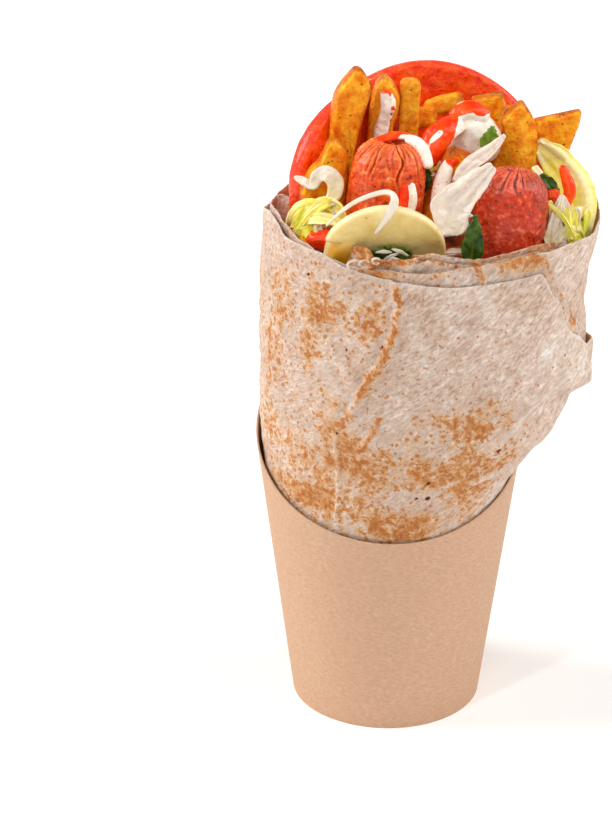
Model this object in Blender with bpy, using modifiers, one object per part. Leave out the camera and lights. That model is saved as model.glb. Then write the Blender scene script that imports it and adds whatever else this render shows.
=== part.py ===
"""Flatbread wrap with frankfurters, fried potato and salad, standing in a slant-cut paper cup.

Everything is modelled in millimetres about the cup's axis, with the floor at height 0 and the
front of the wrap facing -Y. Meshes are scaled to metres, and one parent empty moves the cup's
axis so that the origin ends up under the middle of the whole.
Angles round the wrap start at the front (0 degrees) and grow towards +X, the right-hand side.
"""
import math
import random

import bmesh
import bpy
from mathutils import Matrix, Vector

MM = 0.001
CLEARANCE = 0.3
TRIM_GROWTH = 0.55

CUP_BOTTOM_RADIUS = 31.0
CUP_TAPER = 0.129
CUP_BOARD = 0.6
CUP_RECESS = 7.0
CUP_FRONT_HEIGHT = 71.6
CUP_RIM_SLOPE = 0.476
CUP_FRONT_RADIUS = 40.2
CUP_BACK_HEIGHT = 112.4
CUP_SIDES = 44
SEAM_HALF_ANGLE = 9.0
SEAM_BOARD = 0.5
SEAM_FOOT = 0.4

BREAD_BOTTOM = 9.0
BREAD_TOP = 170.0
BREAD_CENTRE_X = 13.1
BREAD_HALF_WIDTH = 51.9
BREAD_HALF_DEPTH = 48.6
BREAD_SQUARENESS = 2.15
BREAD_ROUND_TOP = 22.0
BREAD_WALL = 1.8
BREAD_COLUMNS = 48
OUTER_SHEET = 2.1
SHEET_END = 0.8
BULGE = 5.6
BULGE_TOP = 141.0
CREASE_DROP = 3.0

SAUSAGE_SIDES = 22
LEAF_THICKNESS = 0.9
STRIP_THICKNESS = 1.0

COLLECTION = "sausage_wrap_in_paper_cup"


# Scene, materials and objects

def clear_scene():
    for old in list(bpy.data.objects):
        bpy.data.objects.remove(old)
    collection = bpy.data.collections.new(COLLECTION)
    bpy.context.scene.collection.children.link(collection)
    root = bpy.data.objects.new("wrap_root", None)
    collection.objects.link(root)
    return collection, root


def material(name, colour, roughness):
    made = bpy.data.materials.new(name)
    made.use_nodes = True
    shader = made.node_tree.nodes["Principled BSDF"]
    shader.inputs["Base Color"].default_value = (*colour, 1.0)
    shader.inputs["Roughness"].default_value = roughness
    shader.inputs["Metallic"].default_value = 0.0
    return made


collection, root = clear_scene()
KRAFT = material("kraft_board", (0.73, 0.47, 0.28), 0.75)
BREAD = material("flatbread", (0.82, 0.70, 0.62), 0.8)
FILLING = material("filling", (0.62, 0.30, 0.10), 0.6)
SAUSAGE = material("sausage", (0.62, 0.10, 0.04), 0.35)
POTATO = material("fried_potato", (0.85, 0.38, 0.03), 0.4)
TOMATO = material("tomato", (0.85, 0.06, 0.01), 0.25)
GHERKIN = material("gherkin", (0.86, 0.72, 0.34), 0.35)
CABBAGE = material("cabbage", (0.86, 0.85, 0.62), 0.4)
LETTUCE = material("lettuce", (0.66, 0.74, 0.26), 0.4)
HERB = material("herb", (0.05, 0.16, 0.02), 0.45)
MAYONNAISE = material("mayonnaise", (0.92, 0.88, 0.78), 0.3)


def add_mesh(name, points, faces, surface):
    """A smooth-shaded object from points in millimetres, its faces turned outwards."""
    mesh = bpy.data.meshes.new(name)
    mesh.from_pydata([Vector(point) * MM for point in points], [], faces)
    shape = bmesh.new()
    shape.from_mesh(mesh)
    bmesh.ops.recalc_face_normals(shape, faces=shape.faces)
    shape.to_mesh(mesh)
    shape.free()
    mesh.materials.append(surface)
    mesh.shade_smooth()
    mesh.set_sharp_from_angle(angle=math.radians(40))
    made = bpy.data.objects.new(name, mesh)
    made.parent = root
    collection.objects.link(made)
    return made


def apply_modifiers(made):
    """Replace an object's mesh with what its modifiers make of it."""
    graph = bpy.context.evaluated_depsgraph_get()
    mesh = bpy.data.meshes.new_from_object(made.evaluated_get(graph))
    made.modifiers.clear()
    made.data = mesh


def measure(mesh):
    """Whether a mesh is closed, and its volume in cubic millimetres."""
    shape = bmesh.new()
    shape.from_mesh(mesh)
    closed = all(edge.is_manifold for edge in shape.edges)
    volume = shape.calc_volume(signed=True) / MM ** 3
    shape.free()
    return closed, volume


def boolean(made, other, operation):
    """Cut or join by the EXACT solver, or by MANIFOLD where EXACT loses part of the shape."""
    before = made.data
    own = measure(before)[1]
    cutter = measure(other.data)[1]
    least, most = (own - cutter, own) if operation == "DIFFERENCE" else (max(own, cutter), own + cutter)
    slack = 0.01 * own + 0.1
    for solver in ("EXACT", "MANIFOLD"):
        made.data = before
        change = made.modifiers.new(operation.lower(), "BOOLEAN")
        change.operation = operation
        change.object = other
        change.solver = solver
        apply_modifiers(made)
        closed, volume = measure(made.data)
        if closed and least - slack < volume < most + slack:
            return


def island_of(start, unseen):
    """All faces joined to a face, taken out of the set of unseen faces."""
    stack = [start]
    island = [start]
    while stack:
        for edge in stack.pop().edges:
            for face in edge.link_faces:
                if face in unseen:
                    unseen.remove(face)
                    island.append(face)
                    stack.append(face)
    return island


def island_volume(island):
    """Six times the signed volume inside a closed set of triangles."""
    return sum(face.verts[0].co.dot(face.verts[1].co.cross(face.verts[2].co)) for face in island)


def keep_largest(made):
    """Drop the loose scraps that trimming leaves."""
    shape = bmesh.new()
    shape.from_mesh(made.data)
    bmesh.ops.triangulate(shape, faces=shape.faces)
    unseen = set(shape.faces)
    islands = []
    while unseen:
        islands.append(island_of(unseen.pop(), unseen))
    islands.sort(key=island_volume)
    for island in islands[:-1]:
        corners = {vertex for face in island for vertex in face.verts}
        bmesh.ops.delete(shape, geom=list(corners), context="VERTS")
    shape.to_mesh(made.data)
    shape.free()


def tidy_mesh(made, distance=0.05):
    """Merge the very short edges that a Boolean leaves, where the body stays closed."""
    before = made.data.copy()
    shape = bmesh.new()
    shape.from_mesh(made.data)
    bmesh.ops.remove_doubles(shape, verts=shape.verts, dist=distance * MM)
    bmesh.ops.dissolve_degenerate(shape, edges=shape.edges, dist=distance * MM)
    shape.to_mesh(made.data)
    shape.free()
    if not measure(made.data)[0]:
        made.data = before


def fuse(name, pieces, surface):
    """Join pieces that overlap into one solid named name."""
    first = pieces[0]
    for piece in pieces[1:]:
        boolean(first, piece, "UNION")
        bpy.data.objects.remove(piece)
    tidy_mesh(first)
    keep_largest(first)
    first.name = name
    first.data.name = name
    first.data.materials.clear()
    first.data.materials.append(surface)
    return first


def grown_copy(made, growth):
    """A copy with each point pushed out along its normal, used to cut room for a piece."""
    mesh = made.data.copy()
    cutter = bpy.data.objects.new("cutter", mesh)
    cutter.matrix_world = made.matrix_world
    collection.objects.link(cutter)
    cutter.hide_render = True
    cutter.display_type = "WIRE"
    shape = bmesh.new()
    shape.from_mesh(mesh)
    shape.normal_update()
    moves = [(vertex, vertex.normal.copy()) for vertex in shape.verts]
    for vertex, normal in moves:
        vertex.co += normal * growth * MM
    shape.to_mesh(mesh)
    shape.free()
    return cutter


def box_of(made):
    corners = [made.matrix_world @ vertex.co for vertex in made.data.vertices]
    low = [min(corner[axis] for corner in corners) for axis in range(3)]
    high = [max(corner[axis] for corner in corners) for axis in range(3)]
    return low, high


def boxes_meet(first, second):
    low_a, high_a = box_of(first)
    low_b, high_b = box_of(second)
    margin = 1.0 * MM
    return all(low_a[axis] - margin < high_b[axis] and low_b[axis] - margin < high_a[axis]
               for axis in range(3))


def trim(made, neighbours, growth=TRIM_GROWTH):
    """Cut made back so that it clears the neighbours placed before it."""
    for neighbour in neighbours:
        if not boxes_meet(made, neighbour):
            continue
        whole = made.data
        for extra in (0.0, 0.06, 0.13, 0.2):
            made.data = whole
            cutter = grown_copy(neighbour, growth + extra)
            boolean(made, cutter, "DIFFERENCE")
            bpy.data.objects.remove(cutter)
            if measure(made.data)[0]:
                break
        keep_largest(made)
    tidy_mesh(made)
    keep_largest(made)


# Small geometry helpers

def smooth(value):
    value = min(1.0, max(0.0, value))
    return value * value * (3.0 - 2.0 * value)


def curve_point(controls, t):
    """A point on the smooth curve through the control points, with t from 0 to 1."""
    spans = len(controls) - 1
    index = min(int(t * spans), spans - 1)
    local = t * spans - index
    before = Vector(controls[max(index - 1, 0)])
    start = Vector(controls[index])
    end = Vector(controls[index + 1])
    after = Vector(controls[min(index + 2, spans)])
    tangent_a = (end - before) * 0.5
    tangent_b = (after - start) * 0.5
    square = local * local
    cube = square * local
    return (start * (2 * cube - 3 * square + 1) + tangent_a * (cube - 2 * square + local)
            + end * (3 * square - 2 * cube) + tangent_b * (cube - square))


def loft(rings, closed_ends=True):
    """Points and faces of a skin over equal rings, with the end rings closed."""
    count = len(rings[0])
    points = [point for ring in rings for point in ring]
    faces = []
    for row in range(len(rings) - 1):
        for column in range(count):
            beside = (column + 1) % count
            faces.append((row * count + column, row * count + beside,
                          (row + 1) * count + beside, (row + 1) * count + column))
    if closed_ends:
        faces.append(tuple(range(count)))
        faces.append(tuple(range(len(points) - count, len(points))))
    return points, faces


def frame_along(direction, facing):
    """Unit vectors across and out of a piece that runs along direction and faces facing."""
    along = Vector(direction).normalized()
    across = along.cross(Vector(facing)).normalized()
    return along, across, across.cross(along).normalized()


# Paper cup

def cup_radius(height):
    return CUP_BOTTOM_RADIUS + CUP_TAPER * height


def rim_height(y):
    return CUP_FRONT_HEIGHT + CUP_RIM_SLOPE * (y + CUP_FRONT_RADIUS)


def turned(name, profile, surface, sides):
    """Turn an open (radius, height) profile, which starts and ends on the axis, into a solid."""
    mesh = bpy.data.meshes.new(name)
    mesh.from_pydata([(radius * MM, 0.0, height * MM) for radius, height in profile],
                     [(k, k + 1) for k in range(len(profile) - 1)], [])
    mesh.materials.append(surface)
    made = bpy.data.objects.new(name, mesh)
    made.parent = root
    collection.objects.link(made)
    screw = made.modifiers.new("turn", "SCREW")
    screw.steps = sides
    screw.render_steps = sides
    screw.use_merge_vertices = True
    screw.merge_threshold = 0.00001
    apply_modifiers(made)
    made.data.set_sharp_from_angle(angle=math.radians(40))
    return made


def seam_strip():
    """The overlap of board up the cup's back, a thin strip that stands proud of the wall."""
    rings = []
    for height in (SEAM_FOOT, CUP_BACK_HEIGHT + 12.0):
        inside, outside = [], []
        for step in range(5):
            turn = math.radians(180.0 + SEAM_HALF_ANGLE * (step / 2 - 1))
            for points, radius in ((inside, cup_radius(height) - 0.3),
                                   (outside, cup_radius(height) + SEAM_BOARD)):
                points.append((radius * math.sin(turn), -radius * math.cos(turn), height))
        rings.append(inside + outside[::-1])
    points, faces = loft(rings)
    return add_mesh("seam", points, faces, KRAFT)


def slanted_blade():
    """A wedge that fills everything above the plane of the cup's slanted rim."""
    reach = 80.0
    points = []
    for x in (-reach, reach):
        points += [(x, -reach, rim_height(-reach)), (x, reach, rim_height(reach)),
                   (x, reach, 3 * reach), (x, -reach, 3 * reach)]
    faces = [(0, 1, 2, 3), (4, 5, 6, 7), (0, 1, 5, 4), (1, 2, 6, 5), (2, 3, 7, 6), (3, 0, 4, 7)]
    return add_mesh("blade", points, faces, KRAFT)


def paper_cup():
    """Conical board wall cut on a slant, a raised base disc and the curl that it stands on."""
    top = CUP_BACK_HEIGHT + 12.0
    floor = CUP_RECESS + CUP_BOARD
    curl = 2 * CUP_BOARD + 0.4
    profile = [(0.0, floor), (cup_radius(floor) - CUP_BOARD, floor),
               (cup_radius(top) - CUP_BOARD, top), (cup_radius(top), top), (cup_radius(0), 0.0),
               (cup_radius(0) - curl, 0.0), (cup_radius(CUP_RECESS) - curl, CUP_RECESS),
               (0.0, CUP_RECESS)]
    cup = turned("paper_cup", profile, KRAFT, CUP_SIDES)
    for other, operation in ((seam_strip(), "UNION"), (slanted_blade(), "DIFFERENCE")):
        boolean(cup, other, operation)
        bpy.data.objects.remove(other)
    return cup


# Flatbread

def line_value(angle, knots):
    """Value at an angle, or at a share of a length, on the eased line through its knots."""
    if angle <= knots[0][0]:
        return knots[0][1]
    for (start, low), (end, high) in zip(knots, knots[1:]):
        if angle <= end:
            part = (angle - start) / (end - start)
            return low + (high - low) * (0.5 * smooth(part) + 0.5 * part)
    return knots[-1][1]


def grip_height(cosine):
    """Height at which the cup lets go of the bread, a little under its slanted rim."""
    return rim_height(CUP_FRONT_RADIUS * cosine) - 1.2


def cup_slack(sine):
    """Room between the cup's wall and the roll, least at the right where it leans."""
    return min(3.2, max(1.9, 3.1 - 1.6 * sine))


def bread_point(angle, height, offset=0.0):
    """A point of the rolled bread: angle in degrees round it, offset outwards from its skin."""
    turn = math.radians(angle)
    sine, cosine = math.sin(turn), -math.cos(turn)
    grip = grip_height(cosine)
    narrow = cup_radius(min(height, grip)) - CUP_BOARD - cup_slack(sine)
    if height < BREAD_ROUND_TOP:
        drop = (BREAD_ROUND_TOP - height) / (BREAD_ROUND_TOP - BREAD_BOTTOM + 0.5)
        narrow -= 4.5 * (1.0 - math.sqrt(1.0 - drop ** 2))
    lift = min(1.0, max(0.0, (height - grip) / (BREAD_TOP - grip)))
    right = max(0.0, sine)
    steady = 1.0 - (1.0 - lift) ** 1.7
    leaning = 0.46 * smooth(lift / 0.33) + 0.54 * lift
    spread = steady + (leaning - steady) * right
    stretch = (abs(sine) ** BREAD_SQUARENESS + abs(cosine) ** BREAD_SQUARENESS) \
        ** (-1.0 / BREAD_SQUARENESS)
    wide_x = BREAD_CENTRE_X + (BREAD_HALF_WIDTH + offset) * sine * stretch
    wide_y = (BREAD_HALF_DEPTH + offset) * cosine * stretch
    x = (1.0 - spread) * (narrow + offset) * sine + spread * wide_x
    y = (1.0 - spread) * (narrow + offset) * cosine + spread * wide_y
    return Vector((x, y, height))


CREASE_LINE = [(15, 106), (31, 115), (42, 121.5), (52, 124), (65, 119.5), (80, 115), (110, 112)]
RIM_LINE = [(-180, 167), (-140, 166.5), (-110, 169), (-73, 172), (-50, 168), (-30, 164.5),
            (0, 164.5), (45, 168), (75, 166.8), (93, 167.5), (112, 170.8), (140, 170), (180, 167)]
OUTER_LINE = [(-165, 161), (-120, 163), (-92, 168), (-73, 172.2), (-56, 168.8), (-41, 168.2),
              (-30, 164.5), (-18, 162.6), (0, 161.4), (16, 161.4), (34, 162), (41, 153.5),
              (55, 138), (70, 130), (100, 124)]
SECOND_LINE = [(-34, 160), (-26, 164.6), (-5, 165.1), (10, 167), (32, 168.4), (35.5, 166.5),
               (44, 154.5), (54, 146), (62, 140)]
THIRD_LINE = [(-12, 166), (-4, 168.6), (4, 167.4), (13, 166.8), (32, 168.1), (42, 167.6)]
FOURTH_LINE = [(-10, 169.2), (-3, 170.2), (9, 168.1), (15, 168), (35, 169.6), (48, 168.6)]
TAB_LINE = [(-33, 165.5), (-29, 168.5), (-25, 166.6), (-20, 169.5), (-15, 167.4), (-8, 168.6)]


def bulge(angle, height):
    """The right-hand side hangs out over a sharp crease that runs down towards the front."""
    crease = line_value(angle, CREASE_LINE)
    reach = BULGE * smooth((angle - 22.0) / 52.0) * smooth((130.0 - angle) / 35.0)
    if height < crease:
        return reach * smooth(1.0 - (crease - height) / CREASE_DROP)
    return reach * max(0.0, (BULGE_TOP - height) / (BULGE_TOP - crease)) ** 0.7


def folds(angle, height):
    """Broad creases and waves of the bread's surface, in millimetres outwards."""
    turn = math.radians(angle)
    wave = 0.5 * math.sin(3.0 * turn + 0.05 * height) + 0.35 * math.sin(7.0 * turn - 0.07 * height)
    ridge_angle = -13.0 - 12.0 * smooth((140.0 - height) / 25.0)
    ridge = 1.3 * math.exp(-((angle - ridge_angle) / 4.5) ** 2) * smooth((height - 112.0) / 12.0)
    lean_in = -2.4 * smooth((height - 148.0) / 20.0) * smooth((-76.0 - angle) / 26.0)
    lean_in *= smooth((angle + 172.0) / 30.0)
    return smooth((height - 84.0) / 30.0) * (wave + ridge) + bulge(angle, height) + lean_in


def sheet_levels(angle, top, bottom):
    """Heights of a sheet's rows, with rows held on the cup's grip and on the crease."""
    crease = line_value(angle, CREASE_LINE)
    if bottom > crease:
        return [bottom + (top - bottom) * k / 2 for k in range(3)]
    grip = grip_height(-math.cos(math.radians(angle)))
    under = max(crease - CREASE_DROP, grip + 4.0)
    crease = max(crease, under + 2.0)
    above = [crease + (top - crease) * k / 4 for k in range(5)]
    return [bottom, (bottom + grip) / 2, grip, grip + 0.4 * (under - grip), under] + above


def sheet(name, angles, top_line, bottom, outer, inner, columns):
    """One layer of bread between two angles, from its lower edge to its cut top edge."""
    start, end = angles
    rings = []
    for column in range(columns + 1):
        angle = start + (end - start) * column / columns
        outside, inside = [], []
        for height in sheet_levels(angle, line_value(angle, top_line), bottom):
            wave = folds(angle, height)
            outside.append(bread_point(angle, height, outer(angle, height) + wave))
            inside.append(bread_point(angle, height, inner(angle, height) + wave))
        rings.append(outside + inside[::-1])
    points, faces = loft(rings, closed_ends=False)
    around = len(rings[0])
    for first in (0, len(points) - around):
        for row in range(around // 2 - 1):
            faces.append((first + row, first + row + 1,
                          first + around - 2 - row, first + around - 1 - row))
    return add_mesh(name, points, faces, BREAD)


def outer_offset(angle, height):
    """Outer skin of the wrapped sheet, held in where it dips into the cup."""
    turn = math.radians(angle)
    free = SHEET_END + (OUTER_SHEET - SHEET_END) * smooth((angle + 165.0) / 60.0)
    held = min(free, cup_slack(math.sin(turn)) - 0.6)
    grip = grip_height(-math.cos(turn))
    return held + (free - held) * smooth((height - grip) / 16.0)


def bread_tube():
    """The closed inner roll that holds the filling: outer skin, rim, inner skin and bottom."""
    angles = [360.0 * k / BREAD_COLUMNS - 180.0 for k in range(BREAD_COLUMNS)]
    rings = [[bread_point(angle, height) for angle in angles]
             for height in (BREAD_BOTTOM, 10.5, 14.0, BREAD_ROUND_TOP, 58.0)]
    for level in range(1, 10):
        ring = []
        for angle in angles:
            height = sheet_levels(angle, line_value(angle, RIM_LINE), 58.0)[level]
            ring.append(bread_point(angle, height, folds(angle, height)))
        rings.append(ring)
    rings.append([bread_point(angle, line_value(angle, RIM_LINE), -BREAD_WALL)
                  for angle in angles])
    for level in (8, 6, 4, 3, 2, 1):
        rings.append([bread_point(angle, sheet_levels(angle, line_value(angle, RIM_LINE),
                                                      58.0)[level], -BREAD_WALL)
                      for angle in angles])
    rings += [[bread_point(angle, height, -BREAD_WALL) for angle in angles]
              for height in (40.0, BREAD_BOTTOM + 6)]
    points, faces = loft(rings)
    return add_mesh("tube", points, faces, BREAD)


def lavash():
    """The bread as one solid: the roll with its wrapped sheets and its torn inner layers."""
    def pleat(angle, height):
        return 1.2 * math.sin(math.radians(angle * 26.0)) * smooth((height - 158.0) / 10.0)

    tube = bread_tube()
    outer = sheet("outer", (-165, 103), OUTER_LINE, 58.0, outer_offset,
                  lambda angle, height: -0.5, 46)
    second = sheet("second", (-34, 62), SECOND_LINE, 130.0, lambda angle, height: 1.05,
                   lambda angle, height: -0.6, 20)
    third = sheet("third", (-12, 42), THIRD_LINE, 152.0, lambda angle, height: -0.9,
                  lambda angle, height: -2.5, 12)
    fourth = sheet("fourth", (-10, 48), FOURTH_LINE, 152.0, lambda angle, height: -2.3,
                   lambda angle, height: -4.0, 12)
    tabs = sheet("tabs", (-33, -8), TAB_LINE, 152.0,
                 lambda angle, height: pleat(angle, height) - 1.0,
                 lambda angle, height: pleat(angle, height) - 2.6, 12)
    return fuse("lavash", [tube, outer, second, third, fourth, tabs], BREAD)


# Food pieces

def sausage(name, top, low, radius, seed):
    """A frankfurter standing on end, its tied tip drawn into radial wrinkles."""
    rng = random.Random(seed)
    top, low = Vector(top), Vector(low)
    along, across, out = frame_along(top - low, (0, -1, 0))
    length = (top - low).length
    creases = [(rng.uniform(0, math.tau), rng.uniform(0.5, 1.0)) for _ in range(7)]
    profile = [(-0.6, 0.16), (0.9, 0.34), (0.4, 0.55), (-1.6, 0.78), (-4.6, 0.93), (-9.0, 1.0),
               (-17.0, 1.02), (-28.0, 1.0), (-length, 0.97), (-length - 6.0, 0.6)]
    rings = []
    for depth, scale in profile:
        pinch = smooth(1.0 + depth / 16.0) * smooth(scale * 2.2)
        ring = []
        for k in range(SAUSAGE_SIDES):
            turn = math.tau * k / SAUSAGE_SIDES
            groove = sum(deep * math.exp(-(math.sin((turn - place) / 2) / 0.13) ** 2)
                         for place, deep in creases)
            size = radius * scale * (1.0 - 0.055 * pinch * groove + 0.015 * math.sin(3 * turn))
            centre = top + along * depth
            ring.append(centre + across * size * math.cos(turn) + out * size * math.sin(turn))
        rings.append(ring)
    points, faces = loft(rings)
    return add_mesh(name, points, faces, SAUSAGE)


def stick(name, base, tip, width, depth, facing=(0, -1, 0), tip_size=0.6, seed=1):
    """A fried potato stick with softened edges, from base to tip, narrowing near the tip."""
    rng = random.Random(seed)
    base, tip = Vector(base), Vector(tip)
    along, across, out = frame_along(tip - base, facing)
    corner = 0.55
    outline = [(1, -corner), (1, corner), (corner, 1), (-corner, 1),
               (-1, corner), (-1, -corner), (-corner, -1), (corner, -1)]
    stops = (0.0, 0.2, 0.42, 0.64, 0.82, 0.94, 1.0)
    rings = []
    for t in stops:
        size = 1.0 - (1.0 - tip_size) * max(0.0, (t - 0.6) / 0.4) ** 1.4
        if t in (0.0, 1.0):
            size *= 0.82
        centre = base.lerp(tip, t)
        wobble = rng.uniform(0.94, 1.06)
        ring = []
        for u, v in outline:
            ring.append(centre + across * (u * width / 2 * size * wobble)
                        + out * (v * depth / 2 * size * rng.uniform(0.95, 1.05)))
        rings.append(ring)
    points, faces = loft(rings)
    return add_mesh(name, points, faces, POTATO)


def slab(name, outline, centre, facing, up, thickness, surface, edge=0.18):
    """A flat slice: an outline of (across, up) points given thickness and softened edges."""
    normal = Vector(facing).normalized()
    across = Vector(up).cross(normal).normalized()
    upward = normal.cross(across)
    centre = Vector(centre)
    rings = []
    for depth, inset in ((-0.5, edge * 1.3), (-0.28, 0.0), (0.28, 0.0), (0.5, edge * 1.3)):
        ring = []
        for u, v in outline:
            reach = math.hypot(u, v)
            shrink = (reach - inset * thickness) / reach
            ring.append(centre + across * u * shrink + upward * v * shrink
                        + normal * depth * thickness)
        rings.append(ring)
    points, faces = loft(rings)
    return add_mesh(name, points, faces, surface)


def disc_outline(radius, sides, wobble=0.01, start=0.0, sweep=360.0):
    """A nearly round outline with a slow wobble, or its upper part where sweep is less."""
    outline = []
    steps = sides if sweep == 360.0 else sides - 1
    for k in range(sides):
        turn = math.radians(start + sweep * k / steps)
        size = radius * (1 + wobble * math.sin(2 * turn + 0.7) + wobble * 0.6 * math.sin(5 * turn))
        outline.append((size * math.cos(turn), size * math.sin(turn)))
    return outline


def ribbon(name, controls, widths, facing, surface, thickness=STRIP_THICKNESS, steps=8,
           curl=0.0, twist=0.0, ruffle=0.0, across_steps=2):
    """A thin wavy leaf or shred along a curve, with widths at even stops along it.

    Solidify gives it thickness, so that its two faces are split alike.
    """
    points, faces = [], []
    count = across_steps + 1
    stops = [(index / (len(widths) - 1), width) for index, width in enumerate(widths)]
    for step in range(steps + 1):
        t = step / steps
        here = curve_point(controls, t)
        ahead = curve_point(controls, min(1.0, t + 0.02)) - curve_point(controls, max(0.0, t - 0.02))
        along, across, out = frame_along(ahead, facing)
        turn = Matrix.Rotation(math.radians(twist * t), 3, along)
        across, out = turn @ across, turn @ out
        span = line_value(t, stops)
        for k in range(count):
            side = 2.0 * k / across_steps - 1.0
            lift = curl * (side * side - 0.4) * span / 2
            lift += ruffle * side * math.sin(9.0 * t + 2.0 * side)
            points.append(here + across * side * span / 2 + out * lift)
    for step in range(steps):
        for k in range(across_steps):
            low = step * count + k
            faces.append((low, low + 1, low + count + 1, low + count))
    made = add_mesh(name, points, faces, surface)
    skin = made.modifiers.new("thickness", "SOLIDIFY")
    skin.thickness = thickness * MM
    skin.offset = 0.0
    apply_modifiers(made)
    return made


def serrated_leaf(name, base, tip, width, facing, teeth, bow=0.0, thickness=LEAF_THICKNESS):
    """A small herb leaf with a toothed edge, bowed along its rib."""
    base, tip = Vector(base), Vector(tip)
    along, across, out = frame_along(tip - base, facing)
    length = (tip - base).length
    points, faces = [], []
    rows = 2 * teeth
    for row in range(rows + 1):
        t = row / rows
        half = width / 2 * math.sin(math.pi * min(0.95, max(0.07, t ** 0.8))) ** 0.8
        half *= 1.0 if row % 2 else 0.74
        rib = base + along * length * t + out * (bow * 4 * t * (1 - t))
        for side in (-1, 0, 1):
            points.append(rib + across * side * half + out * abs(side) * half * 0.25)
    for row in range(rows):
        for side in range(2):
            low = row * 3 + side
            faces.append((low, low + 1, low + 4, low + 3))
    made = add_mesh(name, points, faces, HERB)
    skin = made.modifiers.new("thickness", "SOLIDIFY")
    skin.thickness = thickness * MM
    skin.offset = 0.0
    apply_modifiers(made)
    return made


def blob(name, centre, size, surface, seed, lumps=0.12, detail=2):
    """A soft uneven lump."""
    rng = random.Random(seed)
    shape = bmesh.new()
    bmesh.ops.create_icosphere(shape, subdivisions=detail, radius=1.0)
    waves = [(Vector([rng.uniform(-1, 1) for _ in range(3)]) * 3.0, rng.uniform(0, 6))
             for _ in range(4)]
    points = []
    for vertex in shape.verts:
        swell = 1 + lumps * sum(math.sin(wave.dot(vertex.co) + phase) for wave, phase in waves) / 2
        scaled = Vector([vertex.co[axis] * size[axis] * swell for axis in range(3)])
        points.append(Vector(centre) + scaled)
    faces = [tuple(vertex.index for vertex in face.verts) for face in shape.faces]
    shape.free()
    return add_mesh(name, points, faces, surface)


def bead(name, controls, radius, surface, steps=6, sides=8, flat=0.6, facing=(0, -1, 0)):
    """A run of thick sauce with round ends, flattened against what it lies on."""
    rings = []
    for step in range(steps + 1):
        t = step / steps
        here = curve_point(controls, t)
        ahead = curve_point(controls, min(1.0, t + 0.02)) - curve_point(controls, max(0.0, t - 0.02))
        along, across, out = frame_along(ahead, facing)
        size = radius * math.sin(math.pi * (0.12 + 0.76 * t)) ** 0.5
        if step in (0, steps):
            size *= 0.55
        rings.append([here + across * size * math.cos(math.tau * k / sides)
                      + out * size * flat * math.sin(math.tau * k / sides) for k in range(sides)])
    points, faces = loft(rings)
    return add_mesh(name, points, faces, surface)


def filling_core():
    """What fills the roll under the pieces that show, domed above the bread's rim."""
    columns = 26
    wall = BREAD_WALL + CLEARANCE + 0.35
    rings = []
    for height, offset in ((BREAD_BOTTOM + 7, wall + 1.5), (30, wall), (76, wall), (86, wall),
                           (94, wall), (104, wall), (118, wall), (148, wall + 3.2)):
        rings.append([bread_point(360.0 * k / columns, height, -offset) for k in range(columns)])
    edge = rings[-1]
    middle = Vector((13.0, 2.0, 0.0))
    for ring_index, (reach, rise) in enumerate(((0.92, 9.0), (0.72, 15.0), (0.45, 20.0),
                                                (0.18, 23.0))):
        ring = []
        for k in range(columns):
            outward = Vector((edge[k].x, edge[k].y, 0.0)) - middle
            here = middle + outward * reach
            back = smooth((here.y + 40.0) / 60.0)
            bump = 0.9 * math.sin(here.x * 0.55 + ring_index) * math.cos(here.y * 0.5)
            ring.append((here.x, here.y, 148.0 + rise * (0.62 + 0.5 * back) + bump))
        rings.append(ring)
    points, faces = loft(rings)
    return add_mesh("filling_core", points, faces, FILLING)


# Outlines of the broad wedges of potato, as (across, up) about each one's middle
WEDGE_1 = [(2.3, 16.9), (4.4, 15.9), (7.2, 11.2), (6.9, 7.8), (4.8, 1.7), (3.1, -4.7), (1.6, -11.1),
           (0.5, -34.0), (-7.1, -34.0), (-7.4, -12.7), (-6.5, -5.6), (-5.6, 1.7), (-4.4, 8.1),
           (-2.6, 11.5), (-0.4, 14.1)]
WEDGE_2 = [(1.8, 11.5), (3.6, 11.5), (6.1, 9.3), (7.6, 3.6), (7.4, -4.4), (5.9, -22.0),
           (-6.0, -22.0), (-7.2, -7.3), (-7.2, -4.4), (-6.3, -1.5), (-4.2, 2.3), (-1.5, 4.5)]
WEDGE_3 = [(0.3, 12.5), (2.8, 10.0), (5.3, 6.0), (4.5, 0.7), (3.0, -3.8), (1.6, -28.0),
           (-4.7, -28.0), (-5.2, -7.4), (-4.5, 2.3), (-2.4, 10.0)]
WEDGE_7 = [(-6.1, 5.0), (3.4, 6.9), (4.8, 3.7), (3.7, -1.5), (2.6, -22.0), (-4.2, -22.0),
           (-4.5, 0.4)]
WEDGE_9 = [(1.6, 13.3), (4.4, 9.3), (6.6, 4.9), (6.8, -6.4), (6.4, -26.0), (-5.4, -26.0),
           (-7.4, -5.4), (-5.7, -1.1), (-3.7, 4.2), (-4.8, 6.8), (-0.4, 11.9)]
WEDGE_10 = [(6.6, 3.0), (7.1, 7.1), (-7.9, 3.9), (-6.4, -6.0), (-3.0, -14.0), (1.0, -13.5),
            (2.8, -7.7)]


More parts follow.
